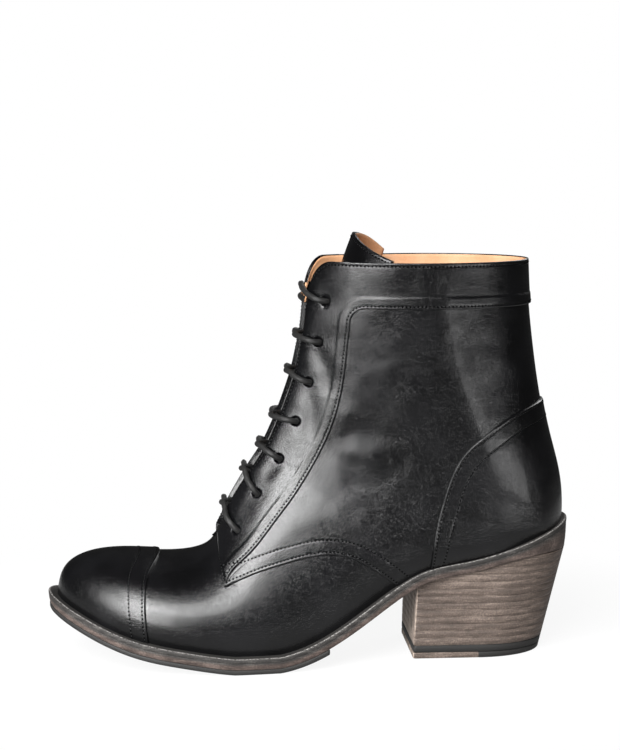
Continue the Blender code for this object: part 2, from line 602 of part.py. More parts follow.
def tube(name, points, radius):
    """A round cord along points, as a closed mesh."""
    curve = bpy.data.curves.new(name, "CURVE")
    curve.dimensions = "3D"
    curve.bevel_depth = radius * MM
    curve.bevel_resolution = LACE_SIDES_LEVEL
    curve.use_fill_caps = True
    path = curve.splines.new("POLY")
    path.points.add(len(points) - 1)
    for point, place in zip(path.points, points):
        point.co = (*(place * MM), 1)
    holder = bpy.data.objects.new(name, curve)
    bpy.context.scene.collection.objects.link(holder)
    graph = bpy.context.evaluated_depsgraph_get()
    mesh = bpy.data.meshes.new_from_object(holder.evaluated_get(graph))
    bpy.data.objects.remove(holder)
    bm = bmesh.new()
    bm.from_mesh(mesh)
    bmesh.ops.remove_doubles(bm, verts=bm.verts, dist=0.01 * MM)
    bmesh.ops.recalc_face_normals(bm, faces=bm.faces)
    bm.to_mesh(mesh)
    bm.free()
    return mesh


def lace_arm(eyelet, edge, side):
    """The lace from an eyelet on one side over its facing's edge and across the throat, to end inside the
    gap before the other facing."""
    lifted = []
    for way in LACE_WAYS:
        station, at = (start + (end - start) * way for start, end in zip(eyelet, edge))
        lifted.append(upper_surface(station, at, side) + LACE_LIFT * surface_normal(station, at, side))
    near, far = (upper_surface(*edge, each) for each in (side, -side))
    middle = (near + far) / 2
    clear = LACE_LIFT + (LACE_OVER if side > 0 else 0)
    lifted.append(middle + clear * np.array(LACE_CROSS_AHEAD))
    lifted.append(middle + (far - middle) * LACE_END_SHARE + np.array([0, 0, LACE_END_RISE]))
    return smooth_line(lifted, LACE_POINTS)


def make_lace(parts, cutters):
    """Each row's two arms cross in front of the throat and are joined there."""
    rows = {side: zip(even_places(EYELET_LINE, side), even_places(LACE_EDGE, side)) for side in (-1, 1)}
    for row in range(EYELET_ROWS):
        arms = [tube("lace_arm", lace_arm(*next(places), side), LACE_RADIUS) for side, places in rows.items()]
        cross = new_object("lace_cross_%d" % (row + 1), arms[0], parts)
        boolean(cross, new_cutter("lace_arm_%d" % (row + 1), arms[1], cutters), "UNION")
        finish(cross, "waxed_cord")


def main():
    for old in list(bpy.data.objects):
        bpy.data.objects.remove(old)
    parts = bpy.data.collections.new("ankle_boot")
    cutters = bpy.data.collections.new("ankle_boot_cutters")
    for group in (parts, cutters):
        bpy.context.scene.collection.children.link(group)
    make_sole(parts, cutters)
    make_upper(parts, cutters)
    make_tongue(parts)
    make_lace(parts, cutters)


main()
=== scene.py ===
# Laced ankle boot for the left foot: the looks of every piece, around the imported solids.
# Lengths are millimetres in the frame's own axes: toe at -X, outer side at -Y, floor at 0.
import math

import bmesh
import bpy
import numpy as np
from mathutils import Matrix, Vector


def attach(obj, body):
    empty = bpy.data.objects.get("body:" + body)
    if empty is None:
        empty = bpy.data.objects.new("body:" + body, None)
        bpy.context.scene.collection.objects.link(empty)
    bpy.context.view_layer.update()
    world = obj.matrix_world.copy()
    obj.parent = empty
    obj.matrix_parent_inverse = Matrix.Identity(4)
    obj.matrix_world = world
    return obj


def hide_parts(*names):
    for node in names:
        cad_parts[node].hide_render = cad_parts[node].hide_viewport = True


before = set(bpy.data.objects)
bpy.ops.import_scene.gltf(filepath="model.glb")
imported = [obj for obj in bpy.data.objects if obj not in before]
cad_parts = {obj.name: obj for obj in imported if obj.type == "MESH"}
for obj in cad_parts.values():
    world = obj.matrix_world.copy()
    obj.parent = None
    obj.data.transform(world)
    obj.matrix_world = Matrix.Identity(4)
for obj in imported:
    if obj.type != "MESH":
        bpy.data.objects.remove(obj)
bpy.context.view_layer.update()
mm = 0.001
print("frame loaded:", len(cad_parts), "nodes")

# Sole line and outline: x, height of the welt's upper face, half widths outside and inside
soleForm = {
    "rows": (
        (-130, 32.4, 37.0, 36.0), (-110, 24.2, 41.0, 38.0), (-88, 16.8, 45.5, 40.5),
        (-62, 11.6, 48.5, 43.0), (-38, 8.1, 49.0, 43.0), (-17, 8.1, 47.0, 40.0),
        (0, 13.2, 44.5, 36.0), (20, 24.4, 40.0, 31.5), (40, 38.0, 36.0, 29.0),
        (52, 44.8, 34.5, 30.5), (75, 50.0, 33.0, 32.0), (105, 58.5, 32.5, 32.5),
        (130, 67.5, 32.0, 32.0),
    ),
    "toeX": -130.0, "heelX": 130.0, "axisY": 3.0, "turnFrom": -60.0, "turnIn": 3.0,
    "toeRound": 58.0, "toeFullness": 2.2, "heelRound": 33.0, "heelFullness": 2.0,
    "welt": 2.3, "outsole": 3.0, "rubber": 2.2, "gap": 0.3,
    "wedgeFromX": 92.0, "wedgeBack": 9.9,
}

# Sections of the last, toe to collar: front x z, back x z, half widths outside and inside, where the
# widest place lies along the section, and how full the dome in front of it is. None follows the sole.
lastForm = {
    "sections": (
        (-124.5, None, -124.5, None, None, None, 0.25, 2.3),
        (-122.3, 39.8, -122.3, None, None, None, 0.25, 2.3),
        (-116.0, 46.6, -116.0, None, None, None, 0.25, 2.3),
        (-105.0, 50.2, -105.0, None, None, None, 0.25, 2.25),
        (-89.0, 51.0, -89.0, None, None, None, 0.25, 2.2),
        (-69.0, 50.3, -69.0, None, None, None, 0.25, 2.1),
        (-53.0, 53.0, -48.0, None, None, None, 0.24, 2.05),
        (-46.0, 61.0, -25.0, None, 45.0, 39.0, 0.23, 2.0),
        (-42.4, 73.0, 0.0, None, 42.5, 36.5, 0.22, 2.05),
        (-37.6, 83.8, 30.0, None, 38.5, 34.0, 0.22, 2.2),
        (-32.8, 92.5, 62.0, None, 35.0, 33.0, 0.21, 2.4),
        (-28.8, 99.8, 94.5, None, 33.0, 32.7, 0.20, 2.5),
        (-25.6, 106.7, 117.0, None, 32.3, 32.3, 0.20, 2.5),
        (-23.0, 113.3, 124.5, None, 32.2, 32.2, 0.23, 2.5),
        (-18.3, 124.2, 124.3, 85.0, 32.3, 32.3, 0.28, 2.5),
        (-13.9, 136.4, 118.8, 108.0, 32.7, 32.7, 0.33, 2.4),
        (-9.9, 150.6, 113.5, 133.0, 33.3, 33.3, 0.39, 2.3),
        (-6.6, 165.5, 110.0, 157.0, 34.0, 34.0, 0.44, 2.2),
        (-4.1, 181.0, 107.8, 178.0, 34.8, 34.8, 0.46, 2.15),
        (-2.2, 196.5, 106.8, 196.5, 35.5, 35.5, 0.47, 2.1),
    ),
    "weltEdge": 5.5, "undercut": 1.5, "swell": 1.05,
    "throat": 7.0, "heelBack": 13.0, "collar": 19.0,
    "throatLow": 9.5, "throatTop": 14.0, "throatRound": 0.06,
    "cornerShare": 0.13, "cornerDrop": 1.25, "cornerFrom": 15.5,
    "fairAt": 12.8, "fairSpread": 2.4, "fairReach": 1.7, "fairOffSeam": 0.25,
    "fairWeights": (1, 4, 7, 8, 7, 4, 1),
}


# 0 below low and 1 above high, straight between them
def straightRise(value, low, high):
    return np.clip((value - low) / (high - low), 0, 1)


# 0 below low and 1 above high, smooth between them
def smoothRise(value, low, high):
    share = straightRise(value, low, high)
    return share ** 2 * (3 - 2 * share)


# Natural cubic curve through rows of values, as a function of whole arrays of places
def naturalCurve(knots, values):
    t, y = np.asarray(knots, float), np.asarray(values, float)
    h = np.diff(t)
    inside = np.arange(1, len(t) - 1)
    system = np.diag(np.r_[1, 2 * (h[:-1] + h[1:]), 1])
    system[inside, inside - 1], system[inside, inside + 1] = h[:-1], h[1:]
    right = np.zeros_like(y)
    right[1:-1] = 6 * np.diff((np.diff(y, axis=0).T / h).T, axis=0)
    bend = np.linalg.solve(system, right)

    def curve(at):
        at = np.asarray(at, float)
        i = np.clip(np.searchsorted(t, at) - 1, 0, len(t) - 2)
        step = h[i]
        a, b = (t[i + 1] - at) / step, (at - t[i]) / step
        if y.ndim > 1:
            a, b, step = a[..., None], b[..., None], step[..., None]
        arch = ((a ** 3 - a) * bend[i] + (b ** 3 - b) * bend[i + 1]) * step ** 2 / 6
        return a * y[i] + b * y[i + 1] + arch

    return curve


# Points spaced evenly on a natural curve through a few given ones
def smoothLine(points, count):
    points = np.asarray(points, float)
    chords = np.r_[0, np.cumsum(np.linalg.norm(np.diff(points, axis=0), axis=1))]
    return naturalCurve(chords, points)(np.linspace(0, chords[-1], count))


# The sole: its line in side view, which never dips under its own thickness, and the middle of the foot,
# which turns in by the square of the way to the toe
soleRows = np.array(soleForm["rows"], float)
soleCurve = naturalCurve(soleRows[:, 0], soleRows[:, 1:])
soleThick = soleForm["welt"] + soleForm["outsole"] + soleForm["rubber"] + 2 * soleForm["gap"]


def soleTop(x):
    return np.maximum(soleCurve(x)[..., 0], soleThick)


def axisY(x):
    share = straightRise(x, soleForm["turnFrom"], soleForm["toeX"])
    return soleForm["axisY"] + soleForm["turnIn"] * share ** 2


# 0 at a rounded end and 1 from length onwards, as a superellipse
def endRound(distance, length, fullness):
    return np.sqrt(1 - np.clip(1 - distance / length, 0, 1) ** fullness)


# Half width of the sole: the table's column for that side, rounded off at toe and heel
def halfWidth(x, side, inset=0.0):
    columns = soleCurve(x)
    body = np.where(np.asarray(side) < 0, columns[..., 1], columns[..., 2]) - inset
    toe = endRound(x - soleForm["toeX"] - inset, soleForm["toeRound"], soleForm["toeFullness"])
    heel = endRound(soleForm["heelX"] - inset - x, soleForm["heelRound"], soleForm["heelFullness"])
    return body * toe * heel


# Height at a depth under the welt's upper face, square to the sole line, with the wedge at the heel seat
def soleDepth(x, depth):
    step, seam = 0.5, soleForm["welt"] + soleForm["gap"]
    slope = (soleTop(x + step) - soleTop(x - step)) / (2 * step)
    inOutsole = straightRise(depth, seam, seam + soleForm["outsole"])
    reach = np.clip((x - soleForm["wedgeFromX"]) / (soleForm["heelX"] - soleForm["wedgeFromX"]), 0, None)
    return soleTop(x) - depth * np.hypot(1, slope) - inOutsole * soleForm["wedgeBack"] * reach ** 2


# The sections' table with its gaps filled from the sole: seat height under the welt, widths inside its edge
def filledSections():
    table = np.array(lastForm["sections"], float)
    backX = table[:, 2]
    seat = soleTop(backX) - lastForm["undercut"]
    wide = [lastForm["swell"] * halfWidth(backX, side, lastForm["weltEdge"]) for side in (-1, 1)]
    fill = np.stack([backX, seat, backX, seat, *wide, backX, backX], -1)
    return np.where(np.isnan(table), fill, table)


sectionCurve = naturalCurve(np.arange(len(lastForm["sections"])), filledSections())


# Half the throat's opening, which grows up the facing and starts round at its foot
def throatHalf(s):
    share = straightRise(s, lastForm["throat"], lastForm["collar"])
    opened = lastForm["throatLow"] + (lastForm["throatTop"] - lastForm["throatLow"]) * share
    return opened * np.minimum(1, np.sqrt(share / lastForm["throatRound"]))


# Stations drawn down near the front edge, which rounds the facing's top corner
def cornerStation(s, v):
    reach = np.clip((v - 1) / lastForm["cornerShare"] + 1, 0, 1)
    drop = lastForm["cornerDrop"] * (1 - np.sqrt(1 - reach ** 2))
    return s - drop * straightRise(s, lastForm["cornerFrom"], lastForm["collar"])


# A section: an ellipse arc from the feather line to the widest place, then a superellipse to the front
def sectionPoint(s, v, side):
    s = cornerStation(s, v)
    frontX, frontZ, backX, backZ, outer, inner, wide, dome = np.moveaxis(sectionCurve(s), -1, 0)
    length = np.hypot(frontX - backX, frontZ - backZ)
    heelEnd = soleForm["heelX"] - lastForm["weltEdge"]
    feather = halfWidth(np.minimum(backX, heelEnd), side, lastForm["weltEdge"])
    feather = np.where(s < lastForm["heelBack"], feather, 0)
    widest = np.maximum(np.where(side < 0, outer, inner), feather + 1e-6)
    low = np.hypot(widest - feather, wide * length)
    high = np.hypot(widest, (1 - wide) * length)
    turn = np.maximum(low / np.maximum(low + high, 1e-9), 1e-9)
    start = np.arcsin(np.clip(feather / widest, 0, 0.999))
    end = np.arccos(np.minimum(throatHalf(s) / widest, 1) ** (dome / 2))
    below = start + (math.pi / 2 - start) * np.clip(v / turn, 0, 1)
    ahead = end * np.clip((v - turn) / np.maximum(1 - turn, 1e-9), 0, 1)
    y = np.where(v < turn, widest * np.sin(below), widest * np.cos(ahead) ** (2 / dome))
    y = np.where((v >= 1) & (s <= lastForm["throat"]), 0, y)
    t = np.where(v < turn, wide * (1 - np.cos(below) / np.cos(start)), wide + (1 - wide) * np.sin(ahead))
    x = backX + (frontX - backX) * t
    return np.stack([x, axisY(x) + side * y, backZ + (frontZ - backZ) * t], -1)


# Outer face of the last: s runs from toe to collar, v from sole or heel seam to ridge or facing edge,
# side is -1 outside and 1 inside. Near the heel a point is a mean over nearby stations.
def lastPoint(s, v, side):
    s, v, side = np.broadcast_arrays(np.asarray(s, float), np.asarray(v, float), side)
    nearHeel = np.exp(-(((s - lastForm["fairAt"]) / lastForm["fairSpread"]) ** 2))
    reach = lastForm["fairReach"] * nearHeel * smoothRise(v, 0, lastForm["fairOffSeam"])
    weights = lastForm["fairWeights"]
    shifts = np.linspace(-1, 1, len(weights))
    total = sum(w * sectionPoint(np.clip(s + k * reach, 0, lastForm["collar"]), v, side)
                for w, k in zip(weights, shifts))
    return total / sum(weights)


def unit(vectors):
    return vectors / np.maximum(np.linalg.norm(vectors, axis=-1, keepdims=True), 1e-12)


# Slopes of the last along s and along v, from small steps to both sides
def lastSlopes(s, v, side, step=0.01):
    sLow, sHigh = np.maximum(s - step, 0), np.minimum(s + step, lastForm["collar"])
    vLow, vHigh = np.maximum(v - step, 0), np.minimum(v + step, 1)
    byS = (lastPoint(sHigh, v, side) - lastPoint(sLow, v, side)) / (sHigh - sLow)[..., None]
    byV = (lastPoint(s, vHigh, side) - lastPoint(s, vLow, side)) / (vHigh - vLow)[..., None]
    return byS, byV


# Outward normal of the last: square to both slopes, and in the middle plane where the halves meet
def lastNormal(s, v, side):
    s, v, side = np.broadcast_arrays(np.asarray(s, float), np.asarray(v, float), side)
    normal = -side[..., None] * np.cross(*lastSlopes(s, v, side))
    onMiddle = ((v <= 0) & (s >= lastForm["heelBack"])) | ((v >= 1) & (s <= lastForm["throat"]))
    normal[..., 1] = np.where(onMiddle, 0, normal[..., 1])
    return unit(normal)


# Station and turn of what a side view shows at x and z: nearest place of a coarse net, then Newton steps
def chartOf(xz, side):
    xz = np.asarray(xz, float)
    netS, netV = np.meshgrid(np.linspace(0.5, lastForm["collar"], 150), np.linspace(0, 1, 60), indexing="ij")
    net = lastPoint(netS, netV, side)[..., [0, 2]].reshape(-1, 2)
    nearest = ((xz[:, None] - net) ** 2).sum(-1).argmin(1)
    s, v = netS.ravel()[nearest], netV.ravel()[nearest]
    for _ in range(14):
        missX, missZ = (xz - lastPoint(s, v, side)[:, [0, 2]]).T
        (xByS, zByS), (xByV, zByV) = (slope[:, [0, 2]].T for slope in lastSlopes(s, v, side))
        area = xByS * zByV - zByS * xByV
        area = np.where(np.abs(area) < 1e-6, 1e-6, area)
        s = np.clip(s + np.clip((missX * zByV - missZ * xByV) / area, -0.5, 0.5), 0, lastForm["collar"])
        v = np.clip(v + np.clip((xByS * missZ - zByS * missX) / area, -0.1, 0.1), 0, 1)
    return np.stack([s, v], -1)


# Halves a span until it holds the place where a test that is true at the low end turns false
def crossing(test, low, high):
    for _ in range(40):
        middle = (low + high) / 2
        inside = test(middle)
        low, high = np.where(inside, middle, low), np.where(inside, high, middle)
    return (low + high) / 2


# Seams in side view, x and z, each a smooth line through its points
seams = {
    "cap": ((-66.0, 58.0), (-74.0, 50.5), (-79.0, 45.5), (-81.0, 36.0), (-80.8, 27.0), (-79.2, 12.0),
            (-76.8, -5.0)),
    "vamp": ((-42.6, 41.0), (-28.0, 47.2), (-14.6, 51.5), (-1.0, 54.8), (9.0, 55.4), (19.2, 53.2),
             (29.6, 47.4), (38.6, 40.6), (46.0, 34.0)),
    "facingFront": ((-42.6, 41.0), (-44.2, 48.5), (-45.3, 58.0), (-45.4, 66.0), (-50.0, 74.0)),
    "stay": ((-42.6, 41.0), (-40.1, 45.6), (-31.2, 54.8), (-17.4, 71.3), (-9.8, 80.8), (1.6, 98.3),
             (9.8, 115.9), (14.5, 132.7), (17.0, 151.3), (18.6, 167.0)),
    "bandZ": 174.2, "bandCorner": 7.0,
    "counter": ((55.8, 38.0), (56.8, 46.7), (59.9, 68.0), (63.5, 81.4), (68.1, 94.9), (74.3, 105.0),
                (82.3, 112.1), (95.5, 120.8), (116.6, 127.0), (140.0, 130.0)),
    "tipRow": ((-43.2, 49.0), (-41.0, 49.7), (-37.7, 51.0), (-34.0, 52.0)),
    "points": 160,
}


# Rows of values looked up in rows of places, straight on beyond both ends unless they are held there
def lookUpRows(at, places, values, held=False):
    i = np.clip((places[:, None, :] <= at[:, :, None]).sum(-1) - 1, 0, places.shape[1] - 2)
    p0, p1 = np.take_along_axis(places, i, 1), np.take_along_axis(places, i + 1, 1)
    v0, v1 = np.take_along_axis(values, i, 1), np.take_along_axis(values, i + 1, 1)
    share = (at - p0) / np.maximum(p1 - p0, 1e-9)
    return v0 + (v1 - v0) * (np.clip(share, 0, 1) if held else share)


# Vectors looked up row by row, at one place in each row
def lookUpVectors(at, places, vectors, held=False):
    return np.concatenate([lookUpRows(at, places, vectors[..., k], held) for k in range(3)], 1)


# Length run from the first point to each one
def runLength(points):
    steps = np.linalg.norm(np.diff(points, axis=-2), axis=-1)
    return np.concatenate([np.zeros(steps.shape[:-1] + (1,)), np.cumsum(steps, -1)], -1)


# A straight chart line between two stations at one turn
def stationRun(start, end, turn, count):
    return np.stack([np.linspace(start, end, count), np.full(count, float(turn))], -1)


# A chart line of station and turn, spaced evenly by length on the last
def evenChart(line, side, count):
    run = runLength(lastPoint(line[:, 0], line[:, 1], side))
    at = np.linspace(0, run[-1], count)
    return np.stack([np.interp(at, run, line[:, 0]), np.interp(at, run, line[:, 1])], -1)


# A leather sheet between two chart lines. Each column runs from the low line to the high line, its rows
# lie at set distances from both, and profiles give (distance, height) pairs where an edge rolls down.
def leatherStrip(low, high, side, lift, lowEdge, highEdge, middleRows, shape=None):
    shares = np.linspace(0, 1, 30)
    count = len(low)
    side = np.broadcast_to(np.asarray(side, float), count)[:, None]
    netS = low[:, :1] + (high - low)[:, :1] * shares
    netV = low[:, 1:] + (high - low)[:, 1:] * shares
    run = runLength(lastPoint(netS, netV, side)) + np.linspace(0, 1e-6, len(shares))
    width = run[:, -1:]
    lowEdge, highEdge = (np.asarray(edge, float) for edge in (lowEdge, highEdge))
    lowEdge, highEdge = (np.broadcast_to(edge, (count,) + edge.shape[-2:]) for edge in (lowEdge, highEdge))
    reach = np.maximum(lowEdge[:, -1:, 0], 0) + np.maximum(highEdge[:, :1, 0], 0) + 1.0
    squeeze = np.minimum(1, width / reach)
    fromLow = lowEdge[..., 0] * squeeze
    fromHigh = width - highEdge[..., 0] * squeeze
    between = np.linspace(0, 1, middleRows + 2)[1:-1]
    middle = fromLow[:, -1:] + (fromHigh[:, :1] - fromLow[:, -1:]) * between
    at = np.concatenate([fromLow, middle, fromHigh], 1)
    share = lookUpRows(at, run, np.broadcast_to(shares, run.shape))
    s = np.clip(low[:, :1] + (high - low)[:, :1] * share, 0, lastForm["collar"])
    v = np.clip(low[:, 1:] + (high - low)[:, 1:] * share, 0, 1)
    height = np.concatenate([lowEdge[..., 1], np.full(middle.shape, lift), highEdge[..., 1]], 1)
    base, normal = lastPoint(s, v, side), lastNormal(s, v, side)
    if shape is not None:
        height = height + shape(base, at, width - at)
    return {"points": base + normal * height[..., None], "normals": normal, "fromLow": at,
            "fromHigh": width - at}


# Profiles of leather edges as (distance from the edge, height). A stitched row draws the leather down into
# a narrow trough.
stitchTrough = {"depth": 0.09, "reach": 0.5, "offsets": (-0.95, -0.6, -0.3, 0.0, 0.3, 0.6, 0.95)}


def withTroughs(profile, lift, rows):
    offsets = np.array(stitchTrough["offsets"])
    dip = stitchTrough["depth"] * np.exp(-(offsets / stitchTrough["reach"]) ** 2)
    troughs = [np.stack([row + offsets, lift - dip], -1) for row in rows]
    profile = np.concatenate([profile, *troughs])
    return profile[np.concatenate([[True], np.diff(np.maximum.accumulate(profile[:, 0])) > 1e-6])]


# A cut edge rounded down to what it lies on, with stitched rows behind it
def cutEdge(foot, lift, radius, rows=6, stitched=()):
    turn = np.linspace(0, math.pi / 2, rows)
    edge = np.stack([radius * (1 - np.cos(turn)), foot + (lift - foot) * np.sin(turn)], -1)
    return withTroughs(edge, lift, stitched)


# An edge folded over the rim, from the inner height round two corners to the outer one
def foldedEdge(outer, inner, inside, corner=0.5, rows=6, stitched=()):
    turn = np.linspace(0, math.pi / 2, rows)
    away, along = corner * (1 - np.sin(turn)), corner * (1 - np.cos(turn))
    inner = np.stack([np.r_[inside, away], inner + np.r_[0, along]], -1)
    outside = np.stack([away[::-1], outer - along[::-1]], -1)
    return np.concatenate([inner, withTroughs(outside, outer, stitched)])


def roundTurns(count):
    return np.arange(count) * 2 * math.pi / count


# Quads of a grid of points, its last column joined to the first where it is closed
def gridFaces(rows, columns, first=0, closed=False):
    i, j = np.meshgrid(np.arange(rows - 1), np.arange(columns if closed else columns - 1), indexing="ij")
    here, above, right = i * columns, (i + 1) * columns, (j + 1) % columns
    quads = np.stack([here + j, above + j, above + right, here + right], -1)
    return first + quads.reshape(-1, 4)


# A piece from points in millimetres and quads, merged where poles and seams meet
def addPiece(name, points, quads, materials, nodes=(), uv=None, weld=0.002, outward=False):
    mesh = bpy.data.meshes.new(name)
    faces = quads if isinstance(quads, list) else quads.tolist()
    mesh.from_pydata((np.asarray(points).reshape(-1, 3) * mm).tolist(), [], faces)
    if uv is not None:
        layer = mesh.uv_layers.new(name="along")
        corner = np.empty(len(mesh.loops), np.int32)
        mesh.loops.foreach_get("vertex_index", corner)
        layer.data.foreach_set("uv", np.asarray(uv, np.float32).reshape(-1, 2)[corner].ravel())
    bm = bmesh.new()
    bm.from_mesh(mesh)
    bmesh.ops.remove_doubles(bm, verts=bm.verts, dist=weld * mm)
    bmesh.ops.dissolve_degenerate(bm, dist=1e-7, edges=bm.edges)
    if outward:
        bmesh.ops.recalc_face_normals(bm, faces=bm.faces)
    bm.to_mesh(mesh)
    bm.free()
    mesh.shade_smooth()
    piece = bpy.data.objects.new(name, mesh)
    bpy.context.scene.collection.objects.link(piece)
    for material in materials:
        mesh.materials.append(material)
    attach(piece, "root")
    if nodes:
        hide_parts(*nodes)
    return piece


# Wall thickness behind a sheet, with the inner face in the second material if there is one
def thicken(piece, thickness):
    wall = piece.modifiers.new("wall", "SOLIDIFY")
    wall.thickness = thickness * mm
    wall.offset = -1
    wall.use_even_offset = False
    if len(piece.data.materials) > 1:
        wall.material_offset = 1
    return piece


# Strips of one sheet, turned so that their faces point the way of the last's normals
def addSheet(name, strips, materials, nodes, thickness, inward=False):
    points, quads, count = [], [], 0
    for strip in strips:
        grid = strip["points"]
        faces = gridFaces(*grid.shape[:2], count)
        facing = np.cross(grid[1:, :-1] - grid[:-1, :-1], grid[:-1, 1:] - grid[:-1, :-1])
        backward = (facing * strip["normals"][:-1, :-1]).sum() < 0
        quads.append(faces[:, ::-1] if backward != inward else faces)
        points.append(grid.reshape(-1, 3))
        count += grid.shape[0] * grid.shape[1]
    piece = addPiece(name, np.concatenate(points), np.concatenate(quads), materials, nodes)
    return thicken(piece, thickness)


# Shader values: a socket whose sums and products add Math nodes
class Wire:
    def __init__(self, finish, socket):
        self.finish, self.socket = finish, socket

    def math(self, operation, *values):
        return self.finish.node("ShaderNodeMath", {"operation": operation}, dict(enumerate(values)))

    def __add__(self, other):
        return self.math("ADD", self, other)

    def __sub__(self, other):
        return self.math("SUBTRACT", self, other)

    def __rsub__(self, other):
        return self.math("SUBTRACT", other, self)

    def __mul__(self, other):
        return self.math("MULTIPLY", self, other)

    def __truediv__(self, other):
        return self.math("DIVIDE", self, other)

    def __rtruediv__(self, other):
        return self.math("DIVIDE", other, self)

    def __pow__(self, other):
        return self.math("POWER", self, other)

    __radd__, __rmul__ = __add__, __mul__

    def most(self, other):
        return self.math("MAXIMUM", self, other)

    def size(self):
        return self.math("ABSOLUTE", self)

    # What is left over past the last whole number
    def part(self):
        return self.math("FRACT", self)

    # 0 below low and 1 above high, smooth between them
    def rise(self, low, high):
        return self.finish.node("ShaderNodeMapRange", {"interpolation_type": "SMOOTHSTEP"},
                                {"Value": self, "From Min": low, "From Max": high})


# A material with one Principled shader and one way to add any other node
class Finish:
    def __init__(self, name, **constants):
        self.material = bpy.data.materials.new(name)
        self.material.use_nodes = True
        self.tree = self.material.node_tree
        self.shader = self.tree.nodes["Principled BSDF"]
        for socket, value in constants.items():
            self.shader.inputs[socket.replace("_", " ")].default_value = value

    def node(self, kind, settings=None, sockets=None, output=0):
        made = self.tree.nodes.new(kind)
        for name, value in (settings or {}).items():
            if name == "stops":
                ramp = made.color_ramp.elements
                while len(ramp) < len(value):
                    ramp.new(0.5)
                for element, (place, colour) in zip(ramp, value):
                    element.position, element.color = place, (*colour, 1)
            else:
                setattr(made, name, value)
        for name, value in (sockets or {}).items():
            self.put(made.inputs[name], value)
        return Wire(self, made.outputs[output])

    def put(self, socket, value):
        if isinstance(value, Wire):
            self.tree.links.new(value.socket, socket)
        else:
            socket.default_value = value

    def place(self, scale=(1, 1, 1), turn=(0, 0, 0)):
        coords = self.node("ShaderNodeTexCoord", output="Object")
        return self.node("ShaderNodeMapping", None, {"Vector": coords, "Scale": scale, "Rotation": turn})

    # X, Y and Z of a vector, by default the place in millimetres
    def axes(self, vector=None):
        vector = vector or self.place((1 / mm,) * 3)
        outputs = self.node("ShaderNodeSeparateXYZ", None, {"Vector": vector}).socket.node.outputs
        return [Wire(self, outputs[name]) for name in ("X", "Y", "Z")]

    # Noise with features of about size millimetres
    def noise(self, size, detail=2.0, rough=0.5, stretch=(1, 1, 1), turn=(0, 0, 0)):
        scale = tuple(1 / (size * mm * k) for k in stretch)
        return self.node("ShaderNodeTexNoise", None, {"Vector": self.place(scale, turn), "Scale": 1.0,
                                                      "Detail": detail, "Roughness": rough})

    # Cells of about size millimetres: distance to the nearest cell wall
    def cells(self, size):
        return self.node("ShaderNodeTexVoronoi", {"feature": "DISTANCE_TO_EDGE"},
                         {"Vector": self.place((1 / (size * mm),) * 3), "Scale": 1.0})

    def blend(self, factor, first, second):
        return self.node("ShaderNodeMix", {"data_type": "RGBA"},
                         {0: factor, 6: first, 7: second}, output=2)

    def shades(self, value, *stops):
        return self.node("ShaderNodeValToRGB", {"stops": stops}, {"Fac": value})

    # Bump from a height in millimetres
    def bump(self, height):
        return self.node("ShaderNodeBump", None, {"Height": height * mm, "Strength": 1.0, "Distance": 1.0})

    def set(self, **sockets):
        for name, value in sockets.items():
            self.put(self.shader.inputs[name.replace("_", " ")], value)
        return self.material


def colour(red, green, blue):
    return (red, green, blue, 1.0)


# Polished black calf: fine grain, slack waves that grow up the shaft, and a thin wax coat
def blackLeather():
    calf = {"pore": 0.9, "crinkle": 1.2, "slack": 17.0, "poreDepth": 0.045, "crinkleDepth": 0.075,
            "slackDepth": 1.2, "slackLow": 40.0, "slackHigh": 100.0, "cloud": 26.0}
    paint = Finish("blackLeather", Coat_Roughness=0.1, Coat_IOR=1.45, Specular_IOR_Level=0.42)
    height = paint.axes()[2]
    pores = paint.cells(calf["pore"]).rise(0.0, 0.3)
    crinkle, slack = paint.noise(calf["crinkle"], 3.0), paint.noise(calf["slack"], 1.0)
    cloud = paint.noise(calf["cloud"], 3.0)
    tone = paint.blend(cloud.rise(0.35, 0.7), colour(0.0018, 0.0018, 0.002), colour(0.004, 0.004, 0.0045))
    loose = slack * (height.rise(calf["slackLow"], calf["slackHigh"]) * 0.75 + 0.25)
    relief = pores * calf["poreDepth"] + crinkle * calf["crinkleDepth"] + loose * calf["slackDepth"]
    return paint.set(Base_Color=tone, Roughness=0.17 + cloud * 0.08, Coat_Weight=0.1 + crinkle * 0.2,
                     Normal=paint.bump(relief))


# Tan lining: smooth split with fine nap and paler rubbed places
def tanLining():
    paint = Finish("tanLining", Specular_IOR_Level=0.3)
    cloud, nap, pores = paint.noise(18.0, 3.0), paint.noise(0.7, 3.0), paint.cells(0.9).rise(0.0, 0.3)
    tone = paint.shades(cloud * 0.7 + nap * 0.3, (0.25, (0.44, 0.22, 0.105)), (0.5, (0.6, 0.325, 0.175)),
                        (0.75, (0.72, 0.44, 0.27)))
    return paint.set(Base_Color=tone, Roughness=0.55 + nap * 0.2,
                     Normal=paint.bump(nap * 0.05 + pores * 0.02))


# Black thread with a little wax on its fibres
def waxedThread():
    paint = Finish("waxedThread", Specular_IOR_Level=0.5)
    fibre = paint.noise(0.25, 2.0)
    tone = paint.blend(fibre, colour(0.006, 0.006, 0.0065), colour(0.022, 0.022, 0.023))
    return paint.set(Base_Color=tone, Roughness=0.42 + fibre * 0.2, Normal=paint.bump(fibre * 0.03))


leather, lining, thread = blackLeather(), tanLining(), waxedThread()
print("leathers ready")

